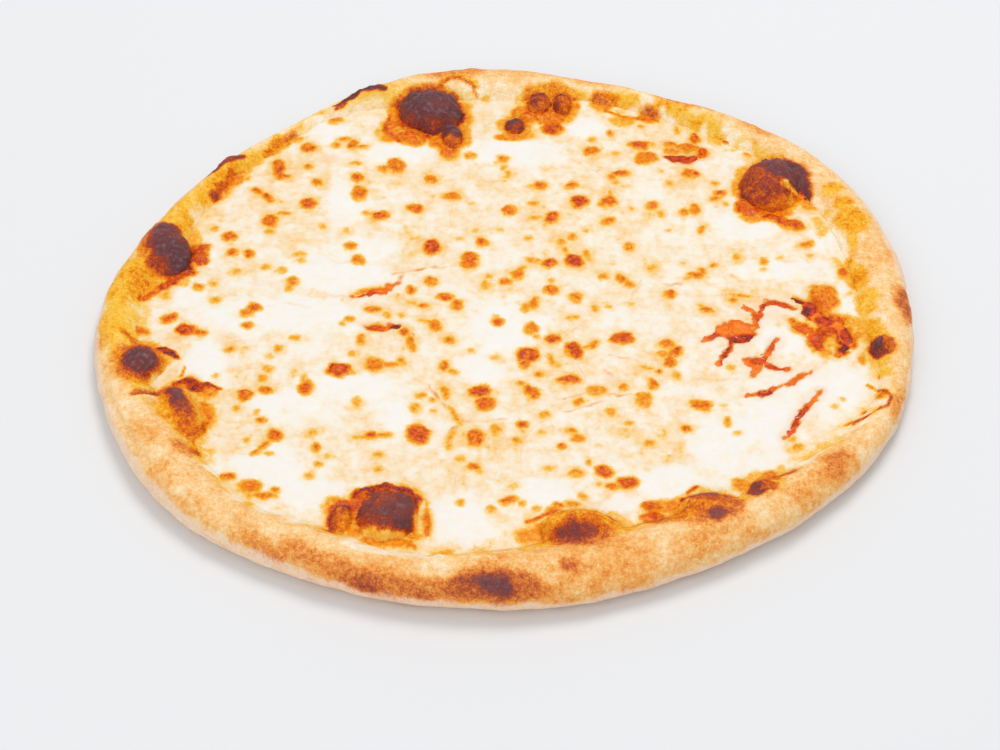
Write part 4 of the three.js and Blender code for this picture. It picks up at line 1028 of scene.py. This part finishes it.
    (123, 8, 5, 5, 0, 0.66), (119.4, 7, 3.4, 6.4, 0, 0.86), (117.6, 7.4, 1.6, 2.2, 0, 1.0),
    (120.6, 11, 2, 2.4, 0, 0.80), (115.5, 12.6, 3.6, 0.8, -32, 0.9), (124.6, 1, 3.8, 4, 0, 0.90),
    (129, 2, 5, 4, -30, 0.70), (128, -3, 4, 4, 0, 0.76), (116, -2.6, 5.4, 3.6, -15, 0.66),
    (111.6, 1, 2, 1.2, 0, 0.74), (114, -5.4, 4, 2, -20, 0.50), (123, -6.5, 4.4, 4.6, 0, 0.78),
    (120.6, -11, 3.2, 5, 35, 0.76), (124, -16.4, 3.2, 3.4, 0, 0.50), (120, -15, 2, 2, 0, 0.44),
    (126.6, -10, 3, 4, 0, 0.36), (131, -6, 4, 8, 20, 0.84), (133.4, -9, 2, 4, 20, 0.98),
    (130.4, -14.8, 2.4, 3, 30, 0.94), (129, -17.4, 1.2, 1, 40, 0.97), (135, -10.6, 1.6, 3, 0, 0.80),
    (133, 1.6, 5, 3.4, -25, 0.46), (138, -1.6, 4, 3.4, 0, 0.40), (141, -8, 3, 4, 0, 0.42),
    (137, -7, 3, 3, 0, 0.52),
    # lobes beside the domes
    (-43, 103, 8, 5, 0, 0.62), (-43, 104, 4, 3, 0, 0.72), (-52, 107, 4.5, 8, 0, 0.52),
    (-50, 112, 3, 5, 0, 0.6), (-27, 96, 4, 5, 0, 0.64), (-31, 101, 5, 4, 0, 0.6),
    (-20, 117, 3, 5, 0, 0.5), (6, 120, 9, 7, 0, 0.56), (8, 121, 5, 4, 0, 0.7), (16, 112, 5, 4, 0, 0.66),
    (2, 108, 7, 3, 0, 0.5), (0, 118, 5, 3, 0, 0.5), (-126, 30, 5, 7, 0, 0.62),
    (-124, 33, 3, 3, 0, 0.78), (-129, 18.4, 4, 2.4, 20, 0.82), (-133, 15.5, 3.4, 2.4, 20, 0.76),
    (-135, 24, 5, 5, 0, 0.5), (-138, 11, 4, 2.6, 30, 0.80), (-142, 7, 3, 2, 30, 0.72),
    (-137, 6, 2.6, 2.4, 0, 0.4), (-146, -14, 6, 2.4, -20, 0.6), (-124, -42, 6, 3, 0, 0.62),
    (-116, -46, 5, 4, 0, 0.54), (-114, -58, 3, 8, 10, 0.42), (-54, -99, 5, 4, 0, 0.62),
    (-45, -95, 8, 3.4, 0, 0.64), (-35, -98, 4, 4, 0, 0.6), (-44, -121, 12, 4, 0, 0.54),
    (-33, -116, 4, 4, 0, 0.5), (-56, -116, 4, 4, 0, 0.5), (-64, -105, 3, 6, 0, 0.46),
    (96, 68, 5, 5, 0, 0.64), (98, 61, 6, 4, 0, 0.5), (102, 62, 5, 3, 0, 0.6), (92, 78, 2.6, 6, 0, 0.46),
    (122, 70, 5, 6, 0, 0.5), (58, -100, 8, 4, 10, 0.52), (55, -101, 4.5, 2.8, 0, 0.7),
    (66, -98, 5, 3, 0, 0.5), (88, -88, 4, 4, 0, 0.5), (100, -84, 5, 3, 0, 0.56),
    (-118, 71, 9, 4.6, 44, 0.46), (-115, 74.5, 4, 2.6, 40, 0.60), (-119, 67.5, 3.6, 2.2, 45, 0.64),
    (-120.6, 63.6, 2, 1.8, 0, 0.78), (-112, 82, 5, 3, 40, 0.42),
    # near right
    (84.5, -55, 1.3, 2.9, 0, 0.58), (88, -61, 1.5, 1, 30, 0.42), (54.3, -67, 2.2, 1.8, 0, 0.5),
    (68.5, -59, 1.9, 1.7, 0, 0.76), (60, -62, 1, 3, 0, 0.36), (108.8, -63.3, 1.3, 2, 0, 0.44),
    (110.8, -67.5, 2.6, 1.9, 30, 0.5), (66, -70, 0.8, 5, 0, 0.3), (54, -98, 2, 1, 0, 0.3),
    (83, -46, 1.6, 1.2, 0, 0.3), (138, -49, 1.8, 1.7, 0, 0.76), (144.5, -44.5, 1.7, 3, 0, 0.78),
]
BLISTER_FADE = 1.6  # mm
BLISTER_SPREAD = 0.9  # of the half lengths given
HALO = 3.8  # mm of buttery skin round a blister
browned = np.zeros(len(x))
blistered = np.zeros(len(x))
haloed = np.zeros(len(x))
sway = layered(flat, (0.9, 5.5, 42), (0.5, 2.4, 43))
swing = layered(flat, (0.9, 5.5, 44), (0.5, 2.4, 45))
for mid_x, mid_y, half_long, half_wide, turn, target in BROWNED:
    long, wide = BLISTER_SPREAD * half_long, BLISTER_SPREAD * half_wide
    span = max(long, wide) + 7
    near = np.flatnonzero((np.abs(x - mid_x) < span) & (np.abs(y - mid_y) < span))
    loose = min(1.2, 0.4 * min(long, wide))
    dx = x[near] - mid_x + loose * sway[near]
    dy = y[near] - mid_y + loose * swing[near]
    inside = oval_depth(dx, dy, long, wide, turn)
    cover = np.clip((inside + BLISTER_FADE) / (BLISTER_FADE + 1.0), 0, 1)
    browned[near] = np.maximum(browned[near], target * cover)
    haloed[near] = np.maximum(haloed[near], min(1, target / 0.6) * step_up(-HALO, 0, inside))
    blistered[near] = np.maximum(blistered[near], target * step_up(-0.4, 1.2, inside))

# thin strands where sauce shows through: strength, then x, y, half width
STRANDS = [
    (0.7, (-47.5, 21.6, 0.3), (-40, 25, 0.4), (-33.7, 26.1, 0.5), (-26.5, 27, 0.2)),
    (0.6, (-41, 6.4, 0.3), (-37, 4.8, 0.5), (-33, 3.3, 0.3)),
    (0.7, (22, -44.2, 0.3), (29, -42, 0.5), (35.5, -41, 0.5), (47, -42.2, 0.3)),
    (0.6, (22, -51.7, 0.3), (30, -49, 0.4), (37.4, -45.2, 0.3)),
    (0.8, (-31, -39, 0.4), (-28, -44, 0.7), (-25, -48, 0.5), (-20.2, -53.7, 0.5), (-17, -57.6, 0.6),
     (-21, -63, 0.6), (-22.6, -70, 0.5)), (0.6, (-17, -57.6, 0.4), (-9, -57, 0.3), (0, -56, 0.3)),
    (0.6, (36.3, -29, 0.4), (40, -31, 0.6), (43.2, -35.3, 0.4)),
    (0.6, (39.4, -21.3, 0.3), (45, -22, 0.5), (51, -23.6, 0.4)),
    (0.6, (84.2, 16.2, 0.3), (89.3, 11.9, 0.5), (95.3, 14.4, 0.5), (100, 14.6, 0.3)),
    (0.45, (68.5, -30.6, 0.3), (78, -32, 0.4), (87.9, -32.1, 0.2)),
    (0.6, (-46, 16, 0.8), (-42, 24, 0.4), (-36, 25.5, 0.5), (-32, 26.8, 0.3)),
    (0.4, (-77, 10, 0.4), (-70, 7.5, 0.6), (-63, 9, 0.4)),
    (0.6, (60, 20.5, 0.3), (68, 21, 0.6), (73, 26, 0.9), (82, 32, 0.3)),
    (0.6, (86, 16, 0.3), (88.5, 12.5, 0.7), (92, 14, 0.6), (97, 14.5, 0.3)),
    (0.6, (-41, -8, 0.8), (-38, -12, 0.9), (-37, -22, 0.5)), (0.4, (37, -29, 0.5), (41, -34, 0.5)),
    (0.35, (76, -31, 0.4), (88, -32, 0.5)), (0.45, (52, 22, 0.4), (48, 12, 0.5), (40, 4, 0.4)),
    (0.3, (10, -48, 0.4), (18, -44, 0.5), (27, -45, 0.4)),
    (0.35, (-77, 32, 0.3), (-70, 27, 0.5), (-62, 29, 0.4)),
    (0.35, (66, -8, 0.3), (74, -10, 0.6), (80, -10, 0.4)), (0.4, (118, -26, 0.5), (123, -23, 0.4)),
    (0.8, (102, -37, 0.4), (108, -33, 0.5), (112, -30, 0.4)),
    (0.35, (-96, 1, 0.4), (-88, 3, 0.5), (-80, 1, 0.4)),
]
stained = np.zeros(len(x))
frayed = 0.75 + 0.5 * waver(flat, 4.5, 58)
for strength, *line in STRANDS:
    inside = line_depth(x + 1.1 * sway, y + 1.1 * swing, line)
    stained = np.maximum(stained, strength * frayed * step_up(-1.0, 0.4, inside))

# patches that the sauce tints pink from below: x, y, half length, half width, strength
TINTED = [
    (45, -107, 2.4, 5, 0.35), (5, 57, 3.5, 4.5, 0.3), (40, -33, 4.5, 4, 0.25), (45, 121, 6, 3.5, 0.3),
    (-76, 89, 6, 4, 0.3), (-100, 14, 7, 3, 0.16), (135, -36, 6, 6, 0.10), (-38, 26, 6, 2.5, 0.16),
    (-115, -52, 3, 8, 0.3), (78, 96, 6, 3, 0.35), (70, 93, 6, 2.5, 0.4), (-50, 2, 12, 7, 0.2),
    (94, -20, 10, 6, 0.12), (104, 4, 6, 5, 0.25), (-70, 50, 7, 7, 0.12), (26, -65, 5, 5, 0.2),
    (-45, -18, 10, 6, 0.14), (55, -28, 6, 4, 0.16), (6, 53, 4, 4, 0.2), (100, 12, 8, 4, 0.2),
    (-134, 12, 4, 7, 0.3), (50, 8, 20, 14, 0.06), (24, 0, 5, 5, 0.15),
]
for mid_x, mid_y, long, wide, strength in TINTED:
    off = np.hypot((x - mid_x) / long, (y - mid_y) / wide) + 0.15 * sway
    stained = np.maximum(stained, strength * step_up(1.3, 0.3, off))
# the cheese is stained at a tear's own edge, and faintly for a few mm round it
tear = tear_depth(x, y, flat)
stained = np.maximum(stained, 0.9 * step_up(-2.2, 0.4, tear + swing + waver(flat, 3.5, 51)))
stained = np.maximum(stained, 0.22 * step_up(-6, -1, tear + 2.0 * waver(flat, 8, 52)))
creamy = 0.50 * (1 - thick) + 0.24 * haloed + layered(flat, (0.16, 6.5, 56), (0.10, 2.8, 57))

# lumps where it bubbled up thickly: x, y, size, height
LUMPS = [
    (-43, 104, 5.5, 1.6), (-51, 109, 4.5, 1.3), (-27, 97, 5, 1.0), (6, 120, 5, 1.4),
    (16, 112, 4.5, 1.6), (8, 114, 4, 1.0), (96, 67, 5, 1.5), (106, 58, 5, 1.2), (115, 57, 4, 1.0),
    (51, 101, 5, 1.0), (56, 94, 5, 1.0), (72, 101, 4, 0.9), (65, 103, 3.5, 0.8), (75, 108, 3.5, 0.9),
    (78, 99, 3.5, 0.9), (123, 16, 7, 1.5), (118, 8, 4, 1.0), (114, -3, 5, 1.0), (134, -8, 5, 1.2),
    (129, -14, 4, 0.9), (123, -11, 4, 0.8), (-54, -97, 4, 1.4), (-46, -94, 4, 1.3), (-37, -96, 4, 1.3),
    (-116, -43, 4, 1.2), (-122, -40, 4, 1.2), (-124, 32, 4.5, 1.4), (-129, 18, 4, 1.0),
    (-115, 76, 5, 1.0), (-96, -96, 5, 1.2), (55, -101, 5, 1.4), (-30, -110, 3.5, 0.9),
    (-35, -123, 4, 0.8),
]

# the sheet's height, its rounded contact with the dough, the tears and the raised blisters
BLISTER_RISE = 0.45  # mm
BLISTER_CRUMPLE = 0.45  # mm
STAIN_DIP = 0.35  # mm
dough_under = crust_top(x, y)
swell = np.sin(x / 17 + 0.9 * np.sin(y / 23)) + np.sin(y / 14 + 0.8 * np.sin(x / 19) + 2)
level_height = CHEESE_LEVEL + CHEESE_RIPPLE / 2 * swell + 0.5 * out**6
level_height += 0.7 * (thick - 0.4) + layered(flat, (0.16, 8, 46), (0.07, 3.2, 47))
lift = level_height - dough_under
height = level_height - 0.35 * np.exp(-np.clip(lift, 0, None) / 0.8)
height += BLISTER_RISE * blistered * (1 + 0.8 * waver(flat, 2.2, 48))
height -= STAIN_DIP * step_up(0.3, 0.9, stained)
for mid_x, mid_y, size, tall in LUMPS:
    off = np.hypot(x - mid_x + 1.2 * sway, y - mid_y + 1.2 * swing) / size
    height += tall * step_up(1.1, 0.2, off)
height += BLISTER_CRUMPLE * step_up(0.3, 0.6, browned) * crag(flat, 3.4, 50)
height += (WELL_TOP + 0.1 - height) * step_up(-3.6, -0.2, tear)
height += (TEAR_FLOOR - height) * step_up(-0.4, 0.6, tear)
height = np.where(lift < -1.0, height - 0.4, height)  # well inside the dough it stays out of sight

# the skin takes colour beside the bubbles and along the rim
for bubble in BUBBLES:
    outside = beside_bubble(x, y, bubble, flat)
    browned = np.maximum(browned, (bubble.foot_bake - 0.12) * step_up(5, 1, outside))
    browned = np.maximum(browned, bubble.foot_bake * step_up(2, -1, outside))
from_edge = np.hypot(x, y) - edge + SHEET_LAP
browned = np.maximum(browned, beside_cheese(browned, toward, from_edge, x, y)[0])
for strokes in (SCORCHED, FRIED):
    browned = np.maximum(browned, paint(0 * x, x, y, strokes))
browned = paint_lines(browned, x, y, SCORCHED_LINES)
browned = paint(browned, x, y, PALE)

ids = np.arange(len(x)).reshape(SQUARES + 1, SQUARES + 1)
border = border_of(ids)
top = np.stack([x, y, height], -1)
below = top[border].copy()
below[:, 2] = SHEET_LOW
faces = grid_quads(ids) + wall(border, ids.size)
faces += fan(ids.size + len(border), ids.size, len(border), up=False)
vertices = np.vstack([top, below, [[0, 0, SHEET_LOW]]])


def with_underside(values):
    """A field's values for the low ring too, which takes the edge's, and for the underside's middle."""
    return np.concatenate([values, values[border], [0.0]])


# Melted mozzarella: a milky, slightly translucent fat and protein gel with a soft gloss. Its skin
# turns yellow, then orange, then red-brown as its blisters dry out.
milk, tree = bare_material("melted_fresh_mozzarella")
where = add_node(tree, "ShaderNodeTexCoord").outputs["Object"]
browning, staining, creaminess = (
    add_node(tree, "ShaderNodeAttribute", {"attribute_name": name}).outputs["Fac"]
    for name in ("browned", "stained", "creamy"))
SPATTER = 3.2 * MM  # cloudy patches of the melt
FRECKLE = 1.7 * MM  # browner and paler places in a blister
PIMPLE = 0.6 * MM  # the finest bubbles
spatter, freckle, pimple = (
    add_node(tree, "ShaderNodeTexNoise", inputs={"Vector": where, "Scale": 1 / size, "Detail": detail})
    for size, detail in ((SPATTER, 1.0), (FRECKLE, 3.0), (PIMPLE, 1.0)))
unevenness = add_node(tree, "ShaderNodeMapRange", inputs={
    "Value": browning, "From Min": 0.0, "From Max": 0.6, "To Min": 0.1, "To Max": 0.75})
from_middle = add_node(tree, "ShaderNodeMath", {"operation": "SUBTRACT"}, {0: freckle, 1: 0.5})
dot = add_node(tree, "ShaderNodeMath", {"operation": "SUBTRACT"}, {0: pimple, 1: 0.5})
DOT_SHARE = 0.6
dotted = add_node(tree, "ShaderNodeMath", {"operation": "MULTIPLY_ADD"},
                  {0: dot, 1: DOT_SHARE, 2: from_middle})
browned_level = add_node(tree, "ShaderNodeMath", {"operation": "MULTIPLY_ADD"},
                         {0: dotted, 1: unevenness, 2: browning})
# tiny yellow flecks of fat in the thin, creamy places
fleck = add_node(tree, "ShaderNodeMapRange", inputs={
    "Value": spatter, "From Min": 0.56, "From Max": 0.80, "To Min": 0.0, "To Max": 0.34})
thinness = add_node(tree, "ShaderNodeMapRange", inputs={
    "Value": creaminess, "From Min": 0.15, "From Max": 0.55, "To Min": 0.1, "To Max": 1.0})
fleck_here = add_node(tree, "ShaderNodeMath", {"operation": "MULTIPLY"}, {0: fleck, 1: thinness})
skin_level = add_node(tree, "ShaderNodeMath", {"operation": "MAXIMUM"},
                      {0: browned_level, 1: fleck_here})
SPATTER_SHARE = 0.5
FRECKLE_SHARE = 0.35
body_level = creaminess
for pattern, share in ((spatter, SPATTER_SHARE), (freckle, FRECKLE_SHARE)):
    centred = add_node(tree, "ShaderNodeMath", {"operation": "SUBTRACT"}, {0: pattern, 1: 0.5})
    body_level = add_node(tree, "ShaderNodeMath", {"operation": "MULTIPLY_ADD"},
                          {0: centred, 1: share, 2: body_level})
body_colour = add_node(tree, "ShaderNodeValToRGB", inputs={"Fac": body_level}, stops=[
    (0.0, "#f5f1ea"), (0.25, "#f6eddc"), (0.43, "#f7e2c2"), (0.60, "#f6d49e"), (0.78, "#f4c276"),
    (1.0, "#efae54")])
skin_colour = add_node(tree, "ShaderNodeValToRGB", inputs={"Fac": skin_level}, stops=[
    (0.00, "#f6ddae"), (0.14, "#f6d698"), (0.25, "#f5c868"), (0.35, "#f3b63c"), (0.45, "#f0a01c"),
    (0.54, "#ee8c0c"), (0.64, "#e87408"), (0.74, "#da580c"), (0.84, "#c44214"), (0.92, "#a0341c"),
    (0.97, "#78302c"), (1.0, "#582e38")])
skin_cover = add_node(tree, "ShaderNodeMapRange", inputs={
    "Value": skin_level, "From Min": 0.04, "From Max": 0.26, "To Min": 0.0, "To Max": 1.0})
# faint brown hairs where two pieces of cheese ran together
HAIR_SPACING = 13 * MM
HAIR_WANDER = 9 * MM
HAIR_WIDTH = 0.03  # of the spacing
sideways = add_node(tree, "ShaderNodeTexNoise", inputs={
    "Vector": where, "Scale": 0.6 / HAIR_SPACING, "Detail": 3.0})
strayed = add_node(tree, "ShaderNodeVectorMath", {"operation": "MULTIPLY_ADD"}, {
    0: sideways.outputs["Color"], 1: (HAIR_WANDER, HAIR_WANDER, 0.0), 2: where})
seams = add_node(tree, "ShaderNodeTexVoronoi",
                 {"feature": "DISTANCE_TO_EDGE", "voronoi_dimensions": "2D"},
                 {"Vector": strayed, "Scale": 1 / HAIR_SPACING})
hair = add_node(tree, "ShaderNodeMapRange", inputs={
    "Value": seams, "From Min": 0.0, "From Max": HAIR_WIDTH, "To Min": 0.5, "To Max": 0.0})
broken = add_node(tree, "ShaderNodeMapRange", inputs={
    "Value": sideways, "From Min": 0.48, "From Max": 0.60, "To Min": 0.0, "To Max": 1.0})
hair_seen = add_node(tree, "ShaderNodeMath", {"operation": "MULTIPLY"}, {0: hair, 1: broken})
hair_here = add_node(tree, "ShaderNodeMath", {"operation": "MULTIPLY"}, {0: hair_seen, 1: thinness})
stain_level = add_node(tree, "ShaderNodeMath", {"operation": "MAXIMUM"}, {0: staining, 1: hair_here})
stain_colour = add_node(tree, "ShaderNodeValToRGB", inputs={"Fac": stain_level}, stops=[
    (0.0, "#f8e4d2"), (0.3, "#f5c898"), (0.6, "#ea9c3c"), (0.85, "#e26c10"), (1.0, "#da5008")])
stain_cover = add_node(tree, "ShaderNodeMapRange", inputs={
    "Value": stain_level, "From Min": 0.03, "From Max": 0.6, "To Min": 0.0, "To Max": 1.0})
tinted_body = add_node(tree, "ShaderNodeMix", {"data_type": "RGBA"},
                       {0: stain_cover, 6: body_colour, 7: stain_colour})
cheese_colour = add_node(tree, "ShaderNodeMix", {"data_type": "RGBA"},
                         {0: skin_cover, 6: tinted_body, 7: skin_colour})
soft_bump = add_node(tree, "ShaderNodeBump", inputs={
    "Strength": 0.35, "Distance": 0.18 * MM, "Height": spatter})
blister_strength = add_node(tree, "ShaderNodeMapRange", inputs={
    "Value": browning, "From Min": 0.2, "From Max": 0.7, "To Min": 0.05, "To Max": 0.7})
blister_bump = add_node(tree, "ShaderNodeBump", inputs={
    "Strength": blister_strength, "Distance": 0.3 * MM, "Height": freckle, "Normal": soft_bump})
fine_bump = add_node(tree, "ShaderNodeBump", inputs={
    "Strength": blister_strength, "Distance": 0.12 * MM, "Height": pimple, "Normal": blister_bump})
cheese_surface = add_node(tree, "ShaderNodeBsdfPrincipled", inputs={
    "Base Color": cheese_colour, "Roughness": 0.34, "Normal": fine_bump, "Specular IOR Level": 0.14,
    "Subsurface Weight": 0.3, "Subsurface Radius": (1.0, 0.7, 0.45), "Subsurface Scale": 2.0 * MM})
add_node(tree, "ShaderNodeOutputMaterial", inputs={"Surface": cheese_surface})

cheese = mesh_piece("mozzarella_sheet", vertices, faces, {
    "browned": with_underside(browned), "stained": with_underside(stained),
    "creamy": with_underside(creamy)}, milk)
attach(cheese, "root")
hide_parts("mozzarella")

# ---------------------------------------------------------------------------------------------
# The studio. A plain pale floor under soft light: a broad lamp above and behind, a weak one in
# front, and a pale surround.
# ---------------------------------------------------------------------------------------------
FLOOR_HALF = 3.0  # m
FLOOR_DROP = 0.0002  # m below the pizza
floor_mesh = bpy.data.meshes.new("studio_floor")
floor_mesh.from_pydata(
    [(FLOOR_HALF * a, FLOOR_HALF * b, -FLOOR_DROP) for a, b in ((-1, -1), (1, -1), (1, 1), (-1, 1))],
    [], [(0, 1, 2, 3)])
floor = bpy.data.objects.new("studio_floor", floor_mesh)
bpy.context.scene.collection.objects.link(floor)

# Pale matt paper: it takes the pizza's soft shadow and has no shine.
PAPER = "#e9ebed"
PAPER_ROUGHNESS = 0.8
paper = bpy.data.materials.new("pale_backdrop_paper")
paper.use_nodes = True
paper_surface = paper.node_tree.nodes["Principled BSDF"]
paper_surface.inputs["Base Color"].default_value = linear(PAPER)
paper_surface.inputs["Roughness"].default_value = PAPER_ROUGHNESS
floor_mesh.materials.append(paper)

SURROUND = "#f4f6fa"
SURROUND_STRENGTH = 0.68
world = bpy.data.worlds.new("pale_surround")
bpy.context.scene.world = world
world.use_nodes = True
surround = world.node_tree.nodes["Background"]
surround.inputs["Color"].default_value = linear(SURROUND)
surround.inputs["Strength"].default_value = SURROUND_STRENGTH

# name, place and aim in metres, size in metres, power in watts, colour
LAMPS = [
    ("broad_lamp", (0.25, 0.62, 1.6), (0, 0, 0), 0.9, 11.4, "#fffaf4"),
    ("front_lamp", (-0.6, -1.2, 1.1), (0, 0, 0), 1.4, 6.0, "#fffdfa"),
]
for name, place, aim, size, power, colour in LAMPS:
    light = bpy.data.lights.new(name, "AREA")
    light.shape = "DISK"
    light.size = size
    light.energy = power
    light.color = linear(colour)[:3]
    lamp = bpy.data.objects.new(name, light)
    bpy.context.scene.collection.objects.link(lamp)
    lamp.location = place
    direction = np.array(aim) - np.array(place)
    flat_run = math.hypot(direction[0], direction[1])
    turned = math.atan2(direction[1], direction[0]) - math.pi / 2
    lamp.rotation_euler = (math.atan2(flat_run, -direction[2]), 0, turned)

# the camera looks down at the front of the rim and turns a little on its own axis
CAMERA_PLACE = (-0.0020, -0.9287, 0.9237)  # m
CAMERA_TILT = math.radians(90 - 45.62)
CAMERA_ROLL = math.radians(1.51)
LENS = 118.8  # mm
SENSOR_WIDTH = 36  # mm
camera_data = bpy.data.cameras.new("camera")
camera_data.lens = LENS
camera_data.sensor_width = SENSOR_WIDTH
camera = bpy.data.objects.new("camera", camera_data)
bpy.context.scene.collection.objects.link(camera)
camera.matrix_world = (Matrix.Translation(CAMERA_PLACE) @ Matrix.Rotation(CAMERA_TILT, 4, "X")
                       @ Matrix.Rotation(CAMERA_ROLL, 4, "Z"))
bpy.context.scene.camera = camera
bpy.context.scene.view_settings.view_transform = "Standard"
